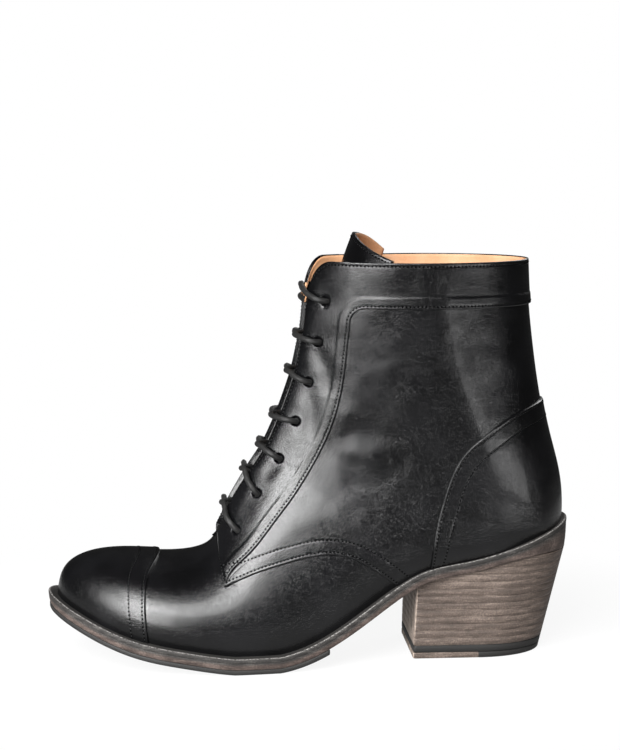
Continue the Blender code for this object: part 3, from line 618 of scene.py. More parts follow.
# Leather panels: heights over the last are those of the solids
stitched = {"cap": 1.6, "vamp": (1.6, 7.5), "stay": (1.5,), "rim": (1.7,), "counter": (1.6, 8.5)}
panel = {"capTop": 1.2, "quarterTop": 1.2, "stayTop": 2.4, "counterTop": 2.4, "foot": -0.15, "edge": 0.55,
         "underlap": 3.0, "wall": 0.7, "rim": (1.3, 0.4), "facing": (-1.2, 4.6),
         "corner": (1.55, 0.3), "overlapStep": 0.28, "overlapFrom": (5.0, 6.3), "overlapWidth": (9.0, 14.0),
         "facingTurn": 1.3, "facingTurnReach": 11.0, "facingTurnEnds": (160.0, 178.0),
         "liningFrom": (18.6, 18.95)}
sides = {-1: "outer", 1: "inner"}


def seamLine(name):
    return smoothLine(seams[name], seams["points"])


# Toe cap: columns over the toe from the outer to the inner feather line, rows from tip to seam. Its second
# stitched row bows back at the feather line.
capForm = {"columns": 181, "rows": 90, "secondRow": 8.3, "secondRowBow": 2.0, "seamBetween": (2.0, 8.0)}


def capSeamStation(across):
    line = seamLine("cap")[::-1]

    def ahead(s):
        point = lastPoint(s, 1 - np.abs(across), np.where(across < 0, -1, 1))
        return point[..., 0] < np.interp(point[..., 2], line[:, 1], line[:, 0])

    return crossing(ahead, *(np.full_like(across, end) for end in capForm["seamBetween"]))


across = np.sin(np.linspace(-math.pi / 2, math.pi / 2, capForm["columns"]))
acrossSide = np.where(across < 0, -1.0, 1.0)
capStation = capSeamStation(across)
toTurn = 1 - np.abs(across)
tip = np.stack([np.zeros_like(across), toTurn], -1)
capEdge = np.stack([capStation, toTurn], -1)
capRow = capForm["secondRow"] + capForm["secondRowBow"] * toTurn ** 2
capEdges = [cutEdge(panel["foot"], panel["capTop"], panel["edge"], stitched=(stitched["cap"], row))[::-1]
            for row in capRow]
cap = leatherStrip(tip, capEdge, acrossSide, panel["capTop"], [(0.0, panel["capTop"])], np.stack(capEdges),
                   capForm["rows"])
addSheet("toeCap", [cap], [leather], ["toe_cap"], panel["wall"])
print("toe cap")


# Eyelets: evenly along a chart line up each facing, and the places of its edge that the lace goes over
eyelets = {"rows": 7, "line": ((8.07, 0.78), (11.3, 0.871), (14.5, 0.896), (17.79, 0.883)),
           "edge": (8.3, 19.0), "radius": 2.1, "lip": 0.5, "lipWidth": 0.7, "depth": 1.5, "pucker": 0.7,
           "puckerReach": 9.0}
eyeletChart = {side: evenChart(smoothLine(eyelets["line"], 120), side, eyelets["rows"]) for side in sides}
laceEdge = stationRun(*eyelets["edge"], 1, eyelets["rows"])
eyeletPoint = {side: lastPoint(chart[:, 0], chart[:, 1], side) for side, chart in eyeletChart.items()}
eyeletNormal = {side: lastNormal(chart[:, 0], chart[:, 1], side) for side, chart in eyeletChart.items()}


# Soft folds of the leather in side view: points, reach and depth, below zero for a ridge
folds = (
    (((10.0, 109.5), (19.9, 114.5), (33.2, 112.8), (44.0, 111.0)), 5.0, 0.55),
    (((13.0, 117.0), (17.0, 122.5), (22.0, 129.0)), 4.5, -0.3),
    (((16.0, 104.5), (25.2, 102.5), (36.0, 100.0)), 4.5, -0.35),
    (((14.0, 87.0), (27.1, 90.9), (40.0, 95.0)), 6.0, 0.4),
    (((2.9, 154.6), (7.7, 143.1), (7.5, 131.0)), 4.0, 0.85),
    (((-0.4, 136.0), (0.6, 126.0), (-1.6, 109.0)), 4.2, 0.8),
    (((-16.0, 98.5), (-20.5, 93.2), (-24.5, 88.5)), 3.6, 0.65),
    (((-28.0, 82.0), (-30.9, 76.3), (-33.0, 70.0)), 3.4, 0.4),
    (((-6.6, 93.4), (-10.9, 86.7), (-14.1, 80.7)), 0.9, 0.14),
    (((-15.9, 78.4), (-21.5, 71.7), (-27.9, 64.9)), 0.9, 0.14),
    (((42.7, 183.1), (46.5, 182.1), (50.3, 180.2)), 0.8, 0.14),
    (((40.4, 179.2), (46.1, 178.6), (52.7, 178.0)), 0.8, 0.14),
)


# Height of all folds: a bell across each line, fading out towards the line's two ends
def foldHeight(base):
    height = np.zeros(base.shape[:-1])
    for points, reach, depth in folds:
        line = smoothLine(points, 24)
        apart = np.linalg.norm(base[..., None, [0, 2]] - line, axis=-1)
        fade = np.sin(math.pi * (apart.argmin(-1) + 0.5) / len(line)) ** 0.6
        height -= depth * fade * np.exp(-(apart.min(-1) / reach) ** 2)
    return height


# Where the tan lining shows round the facing's edge: at the collar's corner
def liningShown(s):
    return smoothRise(s, *panel["liningFrom"])


# Height at the eyelets: a punched hole with a rounded lip, leather drawn in a little around it, and the
# facing turned in towards its edge
def eyeletShape(side):
    def shape(base, fromLow, fromHigh):
        apart = base[..., None, :] - eyeletPoint[side]
        along = (apart * eyeletNormal[side]).sum(-1)
        radial = np.sqrt(np.maximum((apart ** 2).sum(-1) - along ** 2, 0))
        hole = smoothRise(eyelets["radius"] + eyelets["lip"] - radial, 0, eyelets["lipWidth"])
        drawn = np.exp(-(radial / eyelets["puckerReach"]) ** 2) * eyelets["pucker"]
        holes = (eyelets["depth"] * hole + drawn).sum(-1)
        wideEnough = smoothRise(fromLow + fromHigh, *panel["overlapWidth"])
        overlap = panel["overlapStep"] * smoothRise(fromLow, *panel["overlapFrom"]) * wideEnough
        toEdge = np.clip(1 - fromHigh / panel["facingTurnReach"], 0, 1) ** 2
        turned = panel["facingTurn"] * toEdge * (1 - smoothRise(base[..., 2], *panel["facingTurnEnds"]))
        return foldHeight(base) - holes - overlap - turned
    return shape


# Eyestay: columns of the tip, facing, corner and band, and the stations or turns where its edge changes
stayForm = {"tip": 22, "tipLength": 11.0, "facing": 300, "corner": 48, "band": 70, "rows": 40, "turnedIn": 7,
            "frontBetween": (5.0, 9.0), "bandFrom": 15.0, "cornerFrom": 17.2, "rimFrom": (0.16, 0.28),
            "foldFrom": (0.6, 1.1), "flatUnder": 0.45, "flatReach": 0.02}


# Lines of the eyestay and collar band: the seam from the lower tip up to the band and back to the heel,
# and the free edge from the tip up the facing, round the collar corner and along the rim to the heel
def stayLines(side):
    stay = chartOf(seamLine("stay"), side)
    radius = seams["bandCorner"]
    turn = np.linspace(0, math.pi / 2, 24)
    centre = np.array([seams["stay"][-1][0] + radius, seams["bandZ"] - radius])
    arc = chartOf(centre + radius * np.stack([-np.cos(turn), np.sin(turn)], -1), side)
    bandV = np.linspace(arc[-1, 1], 0, 80)
    bandS = crossing(lambda s: lastPoint(s, bandV, side)[..., 2] < seams["bandZ"],
                     *(np.full_like(bandV, end) for end in (stayForm["bandFrom"], lastForm["collar"])))
    front = seamLine("facingFront")
    frontV = np.linspace(stay[0, 1], 1, 60)

    def aheadOfFacing(s):
        point = lastPoint(s, frontV, side)
        return point[..., 0] < np.interp(point[..., 2], front[:, 1], front[:, 0])

    frontS = crossing(aheadOfFacing, *(np.full_like(frontV, end) for end in stayForm["frontBetween"]))
    frontS[0] = stay[0, 0]
    return {"stay": stay, "arc": arc, "band": np.stack([bandS, bandV], -1),
            "front": np.stack([frontS, frontV], -1)}


# Eyestay strip: columns in four stretches, so that both lines turn the collar corner together. Its free edge
# lies flat at the tip, then is folded, and changes from facing to corner to rim.
def eyestayStrip(side, lines):
    run = runLength(lastPoint(lines["stay"][:, 0], lines["stay"][:, 1], side))
    split = int(np.searchsorted(run, stayForm["tipLength"]))
    top = lastForm["collar"]
    throatS = lines["front"][-1, 0]
    vertical = stationRun(throatS, stayForm["cornerFrom"], 1, 80)
    rimV = np.linspace(1, 0, 200)
    rim = np.stack([np.full_like(rimV, top), rimV], -1)
    cornerX = seams["stay"][-1][0] + seams["bandCorner"]
    turned = int(np.searchsorted(lastPoint(rim[:, 0], rim[:, 1], side)[:, 0], cornerX))
    corner = np.concatenate([stationRun(stayForm["cornerFrom"], top, 1, 60), rim[1:turned + 1]])
    pairs = ((lines["stay"][:split + 1], lines["front"], stayForm["tip"]),
             (lines["stay"][split:], vertical, stayForm["facing"]),
             (lines["arc"], corner, stayForm["corner"]),
             (lines["band"], rim[turned:], stayForm["band"]))
    low, high = (np.concatenate([evenChart(pair[k], side, pair[2])[i > 0:] for i, pair in enumerate(pairs)])
                 for k in (0, 1))
    facing, cornered, rimmed = (foldedEdge(panel["stayTop"], *panel[part], stitched=stitched["rim"])[::-1]
                                for part in ("facing", "corner", "rim"))
    flat = facing * np.where(facing[:, 1:] < stayForm["flatUnder"], (stayForm["flatReach"], 1), 1)
    flat[:, 1] = np.maximum(flat[:, 1], panel["foot"])
    folded = straightRise(np.arange(len(low)) / stayForm["tip"], *stayForm["foldFrom"])
    atRim = smoothRise(1 - high[:, 1], *stayForm["rimFrom"])[:, None, None]
    edge = facing + (cornered - facing) * liningShown(high[:, 0])[:, None, None]
    highEdge = flat + (edge + (rimmed - edge) * atRim - flat) * folded[:, None, None]
    lowEdge = cutEdge(panel["quarterTop"] + panel["foot"], panel["stayTop"], panel["edge"],
                      stitched=stitched["stay"])
    strip = leatherStrip(low, high, side, panel["stayTop"], lowEdge, highEdge, stayForm["rows"],
                         eyeletShape(side))
    strip["turnedIn"] = stayForm["turnedIn"]
    return strip, low


# Quarter: from the vamp seam and the feather line up to just under the eyestay and collar band
quarterGrid = {"columns": 210, "rows": 84, "backSeam": 0.35, "backSeamWidth": 0.5,
               "backSeamFrom": (95.0, 100.0)}


# Folds, and a groove in the middle plane where the two quarters are closed at the back
def quarterShape(base, fromLow, fromHigh):
    behind = straightRise(base[..., 0], *quarterGrid["backSeamFrom"])
    apart = (base[..., 1] - soleForm["axisY"]) / quarterGrid["backSeamWidth"]
    return foldHeight(base) - quarterGrid["backSeam"] * behind * np.exp(-apart ** 2)


# The vamp seam above the sole, brought straight down to the feather line
def vampSeamChart(side):
    line = seamLine("vamp")
    line = line[line[:, 1] > soleTop(line[:, 0]) - lastForm["undercut"] + 0.05]
    chart = chartOf(line, side)
    return np.concatenate([chart, [[chart[-1, 0], 0.0]]])


def quarterStrip(side, stayLow):
    seam = vampSeamChart(side)
    feather = stationRun(seam[-1, 0], lastForm["heelBack"], 0, 60)
    low = evenChart(np.concatenate([seam, feather[1:]]), side, quarterGrid["columns"])
    high = evenChart(stayLow, side, quarterGrid["columns"])
    lowEdge = cutEdge(panel["foot"], panel["quarterTop"], panel["edge"], stitched=stitched["vamp"])
    strip = leatherStrip(low, high, side, panel["quarterTop"], lowEdge,
                         [(-panel["underlap"], panel["quarterTop"])], quarterGrid["rows"], quarterShape)
    strip["seamColumns"] = int((low[:, 1] > 0).sum())
    return strip


# Heel counter: from the feather line up to its own seam, the two sides joined at the heel seam
counterGrid = {"columns": 130, "rows": 36, "frontBetween": (8.0, 12.9), "topBetween": (13.1, 18.5),
               "seamPoints": 240, "highestTurn": 0.9}


def counterStrip(side):
    line = seamLine("counter")

    def under(point):
        height = np.interp(point[..., 0], line[:, 0], line[:, 1], left=-100.0)
        return point[..., 2] < height

    front = crossing(lambda s: ~under(lastPoint(s, 0.0, side)), *np.array(counterGrid["frontBetween"]))
    top = crossing(lambda s: under(lastPoint(s, 0.0, side)), *np.array(counterGrid["topBetween"]))
    seamS = np.linspace(front, top, counterGrid["seamPoints"])
    highest = np.full_like(seamS, counterGrid["highestTurn"])
    seamV = crossing(lambda v: under(lastPoint(seamS, v, side)), 0 * highest, highest)
    seamV[[0, -1]] = 0
    high = evenChart(np.stack([seamS, seamV], -1), side, counterGrid["columns"])
    low = evenChart(stationRun(front, lastForm["heelBack"], 0, 60), side, counterGrid["columns"])
    highEdge = cutEdge(panel["quarterTop"] + panel["foot"], panel["counterTop"], panel["edge"],
                       stitched=stitched["counter"])[::-1]
    return leatherStrip(low, high, side, panel["counterTop"], [(0.0, panel["counterTop"])], highEdge,
                        counterGrid["rows"])


upperParts = {}
for side, word in sides.items():
    lines = stayLines(side)
    strip, stayLow = eyestayStrip(side, lines)
    quarter, counter = quarterStrip(side, stayLow), counterStrip(side)
    upperParts[side] = {"lines": lines, "stay": strip, "quarter": quarter, "counter": counter}
    addSheet(word + "Eyestay", [strip], [leather], ["eyestay_" + word], panel["wall"])
    addSheet(word + "Quarter", [quarter], [leather], ["quarter_" + word], panel["wall"])
addSheet("heelCounter", [upperParts[side]["counter"] for side in sides], [leather],
         ["heel_counter"], panel["wall"])
print("quarters, eyestays and counter")

# Vamp: columns over the foot from feather line to feather line, from under the cap to under the quarters
vampGrid = {"rows": 100, "margin": 0.25, "near": 0.03, "throatSlope": 8.0, "wall": 1.2, "turns": 241,
            "window": 25, "linePoints": 3000}


# Station where each column ends: a little past the furthest place that the quarter and facing cover near it,
# evened over neighbours, and no further than a slope up from the throat's foot
def vampEnd(across, acrossSide):
    end = np.empty_like(across)
    turns, window = np.linspace(0, 1, vampGrid["turns"]), vampGrid["window"]
    for side in sides:
        line = np.concatenate([vampSeamChart(side)[::-1], upperParts[side]["lines"]["front"][1:]])
        places = np.linspace(0, len(line) - 1, vampGrid["linePoints"])
        line = np.stack([np.interp(places, np.arange(len(line)), part) for part in line.T], -1)
        near = np.abs(turns[:, None] - line[:, 1]) < vampGrid["near"]
        furthest = np.where(near, line[:, 0], 0).max(1)
        furthest = np.convolve(np.pad(furthest, window // 2, mode="edge"), np.ones(window) / window, "valid")
        here = acrossSide == side
        end[here] = np.interp(1 - np.abs(across[here]), turns, furthest)
    return np.minimum(end + vampGrid["margin"], lastForm["throat"] + vampGrid["throatSlope"] * np.abs(across))


vampHigh = np.stack([vampEnd(across, acrossSide), toTurn], -1)
vamp = leatherStrip(capEdge, vampHigh, acrossSide, 0.0, [(-panel["underlap"], 0.0)], [(0.0, 0.0)],
                    vampGrid["rows"])
addSheet("vamp", [vamp], [leather], ["upper"], vampGrid["wall"])
print("vamp")

# Lining: the whole inner face up to just under the rim, turned out over the facing edges
liningForm = {"height": -1.8, "rimHeight": 0.4, "belowRim": 0.4, "wall": 0.8, "stations": 170, "turns": 44,
              "toe": 0.25, "wrapTo": 2.6, "wrapAhead": 0.5, "wrapFrom": (7.15, 7.45), "wrapRows": 7,
              "setBack": (1.0, 4.2), "setBackFrom": (6.9, 7.5), "setBackGrows": (9.6, 10.8),
              "rimFrom": (18.2, 18.8)}


# The last's grid moved inwards, set back from the facing's edge low down, lifted to the rim at the collar and
# carried round the facing's edge at the corner by a few more rows
def liningGrid(side):
    s = np.linspace(liningForm["toe"], lastForm["collar"], liningForm["stations"])[:, None]
    wrap = np.linspace(0, 1, liningForm["wrapRows"])[1:]
    shown = liningShown(s)
    wide = runLength(lastPoint(s, np.linspace(0, 1, 40), side))[:, -1:]
    low, high = liningForm["setBack"]
    back = low + (high - low) * smoothRise(s, *liningForm["setBackGrows"])
    back = back * (1 - shown) * smoothRise(s, *liningForm["setBackFrom"])
    v = np.r_[np.linspace(0, 1, liningForm["turns"]), np.ones_like(wrap)] * (1 - back / wide)
    opened = smoothRise(s, *liningForm["wrapFrom"]) * shown
    share = np.r_[np.zeros(liningForm["turns"]), wrap] * opened
    base, normal = lastPoint(s, v, side), lastNormal(s, v, side)
    ahead = unit(lastPoint(s, v, side) - lastPoint(s, v - 0.01, side))
    out = liningForm["wrapAhead"] * np.sin(math.pi / 2 * np.clip(share * 3, 0, 1))
    lifted = (liningForm["rimHeight"] - liningForm["height"]) * smoothRise(s, *liningForm["rimFrom"])
    height = liningForm["height"] + lifted + (liningForm["wrapTo"] - liningForm["height"] - lifted) * share
    toRim = runLength(np.swapaxes(base[::-1], 0, 1)).T[::-1]
    points = base + normal * height[..., None] + ahead * out[..., None]
    points[..., 2] -= np.clip(liningForm["belowRim"] - toRim, 0, None)
    return {"points": points, "normals": normal}


addSheet("lining", [liningGrid(side) for side in sides], [lining], ["upper"],
         liningForm["wall"], inward=True)
print("lining")

# Tongue: set back from the front of each section, wider and further back towards its top. Its rows are the
# station, the distance set back and the half width.
tongueForm = {
    "rows": ((6.2, 3.2, 12.0), (8.0, 4.2, 16.0), (10.0, 5.7, 19.0), (13.0, 9.0, 21.5), (16.0, 12.5, 24.5),
             (19.0, 19.2, 28.0), (20.0, 23.3, 28.5)),
    "thick": 1.8, "top": 19.78, "cornerDrop": (0.76, 0.6), "cornerPower": (1.6, 4.0), "along": 150,
    "across": 81,
}


def tonguePoint(s, u):
    rows = np.array(tongueForm["rows"])
    setBack, half = np.moveaxis(naturalCurve(rows[:, 0], rows[:, 1:])(s), -1, 0)
    frontX, frontZ, backX, backZ, outer, inner, wide, dome = np.moveaxis(sectionCurve(s), -1, 0)
    y = half * u
    t = wide + (1 - wide) * np.sqrt(1 - (np.abs(y) / np.where(u < 0, outer, inner)) ** dome)
    length = np.hypot(backX - frontX, backZ - frontZ)
    x = backX + (frontX - backX) * t + setBack * (backX - frontX) / length
    z = backZ + (frontZ - backZ) * t + setBack * (backZ - frontZ) / length
    return np.stack([x, axisY(x) + y, z], -1)


# Columns across and rows up to a top line that drops by a power of the way to each side
def tongueGrid():
    u = np.linspace(-1, 1, tongueForm["across"])[None, :]
    rise = np.linspace(0, 1, tongueForm["along"])[:, None]
    low = tongueForm["rows"][0][0]
    drop, power = (np.where(u < 0, *tongueForm[pair]) for pair in ("cornerDrop", "cornerPower"))
    top = tongueForm["top"] - drop * np.abs(u) ** power
    points = tonguePoint(low + (top - low) * rise, u + 0 * rise)
    normal = unit(np.cross(np.gradient(points, axis=1), np.gradient(points, axis=0)))
    normal *= np.sign(-normal[..., :1])
    return {"points": points, "normals": normal}


tongue = tongueGrid()
addSheet("tongueSheet", [tongue], [leather, lining], ["tongue"], tongueForm["thick"])
print("tongue")


# Stitches: rounded bars of thread along each row, and between them dark matt discs in the needle holes, which
# are painted shade
stitch = {"pitch": 1.87, "thread": (1.0, 0.4, 0.3), "sink": 0.1, "hole": (1.1, 1.1, 0.55), "holeSink": 0.0,
          "aboveWelt": 0.4, "stayFrom": 3.5}


# A rounded bar of unit length, width and height, thinner to its ends by a power of the way along it
def roundBar(rows, around, blunt):
    along, turn = np.meshgrid(np.linspace(-1, 1, rows), roundTurns(around), indexing="ij")
    thin = np.sqrt(np.maximum(1 - np.abs(along) ** blunt, 0))
    return np.stack([along, thin * np.cos(turn), thin * np.sin(turn)], -1) / 2


# One template at even steps along each row of (points, normals), shifted by a share of a step
def addAlongRows(name, rows, template, shift, sink, material):
    faces = gridFaces(*template.shape[:2], closed=True)
    copies = []
    for points, normals in rows:
        run = runLength(points)
        count = max(int(run[-1] / stitch["pitch"]), 1)
        at = (np.arange(count) + shift) * run[-1] / count
        centre, normal, ahead, behind = (
            np.stack([np.interp(at + step, run, part[:, k]) for k in range(3)], -1)
            for part, step in ((points, 0), (normals, 0), (points, 0.3), (points, -0.3)))
        tangent = unit(ahead - behind)
        beside = unit(np.cross(normal, tangent))
        axes = np.stack([tangent, beside, np.cross(tangent, beside)], -2)
        copies.append(template.reshape(1, -1, 3) @ axes + (centre - unit(normal) * sink)[:, None])
    copies = np.concatenate(copies)
    quads = faces[None] + np.arange(len(copies))[:, None, None] * template.shape[0] * template.shape[1]
    return addPiece(name, copies, quads.reshape(-1, 4), [material], outward=True)


# Near-black matt finish with almost no specular: painted shade inside each needle hole
def holeShadeDisc():
    return Finish("holeShadeDisc", Base_Color=colour(0.001, 0.001, 0.001), Roughness=0.9,
                  Specular_IOR_Level=0.05).material


# The line at one distance from a strip's edge, over the columns that pass the keep test
def stitchLine(strip, edge, distance, keep=None):
    places = strip[edge]
    rows = np.s_[:] if edge == "fromLow" else np.s_[places.shape[1] - 1 - strip.get("turnedIn", 0)::-1]
    at = np.broadcast_to(distance, len(places))[:, None]
    order = np.maximum.accumulate(places[:, rows], 1)
    point, normal = (lookUpVectors(at, order, strip[part][:, rows], True) for part in ("points", "normals"))
    keep = np.ones(len(point), bool) if keep is None else keep(point)
    return point[keep], normal[keep]


def aboveWelt(point):
    return point[:, 2] > soleTop(point[:, 0]) + stitch["aboveWelt"]


# The vamp's second row goes on over the eyestay to the facing's front
def tipRow(side):
    chart = chartOf(smoothLine(seams["tipRow"], 20), side)
    normal = lastNormal(chart[:, 0], chart[:, 1], side)
    return lastPoint(chart[:, 0], chart[:, 1], side) + normal * panel["stayTop"], normal


# A row along the tongue's top, as far from it as the rim's row is from the rim
def tongueTopRow():
    points, normals = (np.swapaxes(tongue[part][::-1], 0, 1) for part in ("points", "normals"))
    at = np.full((len(points), 1), stitched["rim"][0])
    run = runLength(points)
    return tuple(lookUpVectors(at, run, part) for part in (points, normals))


stitchRows = [stitchLine(cap, "fromHigh", row, aboveWelt) for row in (stitched["cap"], capRow)]
stitchRows.append(tongueTopRow())
for side, parts in upperParts.items():
    onVamp = np.arange(quarterGrid["columns"]) < parts["quarter"]["seamColumns"]
    onStay = parts["stay"]["fromLow"].max(1) > stitch["stayFrom"]
    seamRows = (("quarter", "fromLow", "vamp", lambda point: aboveWelt(point) & onVamp),
                ("stay", "fromLow", "stay", lambda point: onStay),
                ("stay", "fromHigh", "rim", lambda point: onStay),
                ("counter", "fromHigh", "counter", aboveWelt))
    for part, edge, seam, keep in seamRows:
        stitchRows += [stitchLine(parts[part], edge, row, keep) for row in stitched[seam]]
    stitchRows.append(tipRow(side))
threadBar = roundBar(6, 6, 3.5) * stitch["thread"]
hole = roundBar(5, 6, 2.0) * stitch["hole"]
addAlongRows("stitches", stitchRows, threadBar, 0.5, stitch["sink"], thread)
# The discs in the needle holes are painted shade
addAlongRows("holeShadeDiscs", stitchRows, hole, 0.0, stitch["holeSink"], holeShadeDisc())
print("stitches:", len(stitchRows), "rows")


# Sole plates: rings round the outline at (inset, depth) pairs, closed above and below by rows across
def soleBody(name, profile, material, nodes, endX=None, stations=180, crossRows=12):
    inset, depth = (column[:, None] for column in np.asarray(profile, float).T)
    share = np.linspace(0, 1, stations)[None, :]
    share = (1 - np.cos(math.pi * share)) / 2 if endX is None else 1 - np.cos(math.pi / 2 * share)
    toe = soleForm["toeX"] + inset
    end = (soleForm["heelX"] if endX is None else endX) - inset
    x = toe + (end - toe) * share
    z = soleDepth(x, depth)
    edges = [np.stack([x, axisY(x) + side * halfWidth(x, side, inset), z], -1) for side in sides]
    rings = np.concatenate([edges[0][:, ::-1], edges[1][:, 1:]], 1)
    points, quads = [rings.reshape(-1, 3)], [gridFaces(*rings.shape[:2], closed=True)]
    deep = [np.broadcast_to(depth, rings.shape[:2]).ravel()]
    count = rings.shape[0] * rings.shape[1]
    turn = np.linspace(0, 1, crossRows)[None, :, None]
    for row in (0, -1):
        cross = edges[0][row][:, None] * (1 - turn) + edges[1][row][:, None] * turn
        points.append(cross.reshape(-1, 3))
        quads.append(gridFaces(*cross.shape[:2], count))
        deep.append(np.full(cross.shape[0] * cross.shape[1], depth[row, 0]))
        count += cross.shape[0] * cross.shape[1]
    deep = np.concatenate(deep)
    return addPiece(name, np.concatenate(points), np.concatenate(quads), [material], nodes,
                    uv=np.stack([0 * deep, deep], -1), weld=0.004, outward=True)


# Welt and sole edge: stained grey leather, browner lower down, its upper corner paler in specks, partly
# rubbed wear and partly a painted highlight, and its upper face beside the upper darker as painted shade. The
# second coordinate of the piece is the depth under the welt's upper face, in millimetres.
def weltLeather():
    paint = Finish("weltLeather", Specular_IOR_Level=0.3)
    cloud, speck = paint.noise(9.0, 3.0), paint.noise(0.9, 4.0, 0.65)
    fibre = paint.noise(1.2, 3.0, 0.6, (9, 9, 1))
    depth = paint.axes(paint.node("ShaderNodeUVMap", {"uv_map": "along"}))[1]
    mottle = cloud * 0.3 + speck * 0.4 + fibre * 0.3
    grey = paint.shades(mottle, (0.34, (0.009, 0.008, 0.0075)), (0.5, (0.024, 0.022, 0.0205)),
                        (0.66, (0.08, 0.075, 0.07)))
    brown = paint.shades(mottle, (0.34, (0.022, 0.016, 0.014)), (0.5, (0.07, 0.052, 0.045)),
                         (0.66, (0.18, 0.138, 0.12)))
    tone = paint.blend(depth.rise(2.4, 4.2), grey, brown)
    # Paler specks on the rounded upper corner: partly rubbed wear, partly a painted highlight where the edge
    # catches light
    corner = depth.rise(0.08, 0.16) * (1 - depth.rise(0.28, 0.45)) * speck.rise(0.38, 0.58)
    tone = paint.blend(corner * 0.7, tone, colour(0.3, 0.287, 0.275))
    # Painted shade: the welt's upper face, in the crevice beside the upper, is made flat dark
    tone = paint.blend(1 - depth.rise(0.02, 0.1), tone, colour(0.02, 0.019, 0.018))
    return paint.set(Base_Color=tone, Roughness=0.55 + speck * 0.2,
                     Normal=paint.bump(speck * 0.08 + fibre * 0.06))


# Dull rubber with a fine speck
def blackRubber():
    paint = Finish("blackRubber", Specular_IOR_Level=0.35)
    speck = paint.noise(0.6, 2.0)
    tone = paint.blend(speck, colour(0.008, 0.008, 0.008), colour(0.02, 0.019, 0.018))
    return paint.set(Base_Color=tone, Roughness=0.55 + speck * 0.15, Normal=paint.bump(speck * 0.05))


welting, rubber = weltLeather(), blackRubber()
# Profiles of the plates as (inset from the welt's edge, depth under its upper face)
welt = ((12, 0), (5, 0), (2, 0.05), (0.9, 0.1), (0.4, 0.25), (0.1, 0.55), (0, 0.95), (0, 1.5), (0.05, 2.1),
        (0.12, 2.28), (0.3, 2.3), (12, 2.3))
outsole = ((12, 2.32), (0.4, 2.32), (0.2, 2.36), (0.15, 2.6), (0.2, 3.2), (0.3, 3.9), (0.5, 4.6), (0.75, 5.1),
           (0.9, 5.5), (1.0, 5.6), (12, 5.6))
treadPlate = ((12, 5.65), (1.2, 5.65), (0.8, 5.8), (0.6, 6.2), (0.6, 7.5), (0.8, 7.9), (1.3, 8.1), (12, 8.1))
insole = ((20, -2.9), (9.2, -2.9), (8.2, -2.7), (7.8, -2.3), (7.8, -0.6), (8.2, -0.3), (20, -0.3))
soleBody("weltStrip", welt, welting, ["welt"])
soleBody("outsolePlate", outsole, welting, ["outsole"])
soleBody("foreTread", treadPlate, rubber, ["forepart_rubber"], 8.1)
soleBody("insoleSock", insole, lining, ["insole"])
print("sole")

# Heel block: level rings of breast, rounded corners, sides and back, growing upwards
heelForm = {"height": 52.0, "breast": (50.0, 2.0), "back": (116.5, 12.5), "half": (25.0, 6.0), "corner": 1.1,
            "round": 33.0, "fullness": 2.0, "lift": 3.6, "groove": 0.14, "seat": 5.6, "stackFrom": 6.8,
            "grooveLevels": (-0.3, -0.1, 0.1, 0.3), "endLevels": (6.8, 6.82, 7.0, 49.5, 51.0, 52.0),
            "grooved": (8.0, 49.0), "grooveReach": 0.15, "seatGap": 0.02, "edge": (0.6, 0.25, 0.0),
            "liftLevels": (3.1, 3.2, 3.5, 6.4, 6.65, 6.78), "pieceLevels": (0.0, 0.1, 0.4, 2.6, 2.95, 3.08),
            "pieceEnd": 82.6, "pieceStart": 81.8, "cornerColumns": 6, "sideColumns": 70, "breastColumns": 26}


# Each ring runs round the back end, a superellipse like the sole's, along the sides, round the corners and
# across the breast
def heelRing(z, inset, frontX=None, backX=None):
    z, inset = (np.asarray(value, float)[:, None] for value in (z, inset))
    breast, back, half = (heelForm[key][0] + heelForm[key][1] * z / heelForm["height"]
                          for key in ("breast", "back", "half"))
    breast, half, corner = breast + inset, half - inset, heelForm["corner"]
    front = breast if frontX is None else frontX + inset
    end = back - inset if backX is None else backX - inset
    turn = np.linspace(0, math.pi / 2, heelForm["cornerColumns"])[None, :]
    share = (1 - (1 - np.linspace(0, 1, heelForm["sideColumns"])) ** 2)[None, 1:]
    cornerX, cornerY = front + corner * (1 - np.cos(turn)), half - corner * (1 - np.sin(turn))
    sideX = front + corner + (end - front - corner) * share
    sideY = half * endRound(back - inset - sideX, heelForm["round"], heelForm["fullness"])
    x, y = np.concatenate([cornerX, sideX], 1), np.concatenate([cornerY, sideY], 1)
    breastY = np.linspace(1, -1, heelForm["breastColumns"])[None, 1:-1] * (half - corner)
    x = np.concatenate([x[:, ::-1], front + 0 * breastY, x], 1)
    y = np.concatenate([y[:, ::-1], breastY, -y], 1)
    return np.stack([x, soleForm["axisY"] + y, z + 0 * x], -1)


# Rings joined to a closed block, cut off under the sole's lower face where it is seated there
def heelBody(name, z, inset, material, nodes, frontX=None, backX=None, seated=False):
    rings = heelRing(z, inset, frontX, backX)
    if seated:
        seat = soleDepth(rings[..., 0], heelForm["seat"]) - heelForm["seatGap"]
        rings[..., 2] = np.minimum(rings[..., 2], seat)
    rows, columns = rings.shape[:2]
    quads = gridFaces(rows, columns, closed=True).tolist()
    quads += [list(range(columns)), list(range((rows - 1) * columns, rows * columns))]
    return addPiece(name, rings, quads, [material], nodes, weld=0.004, outward=True)
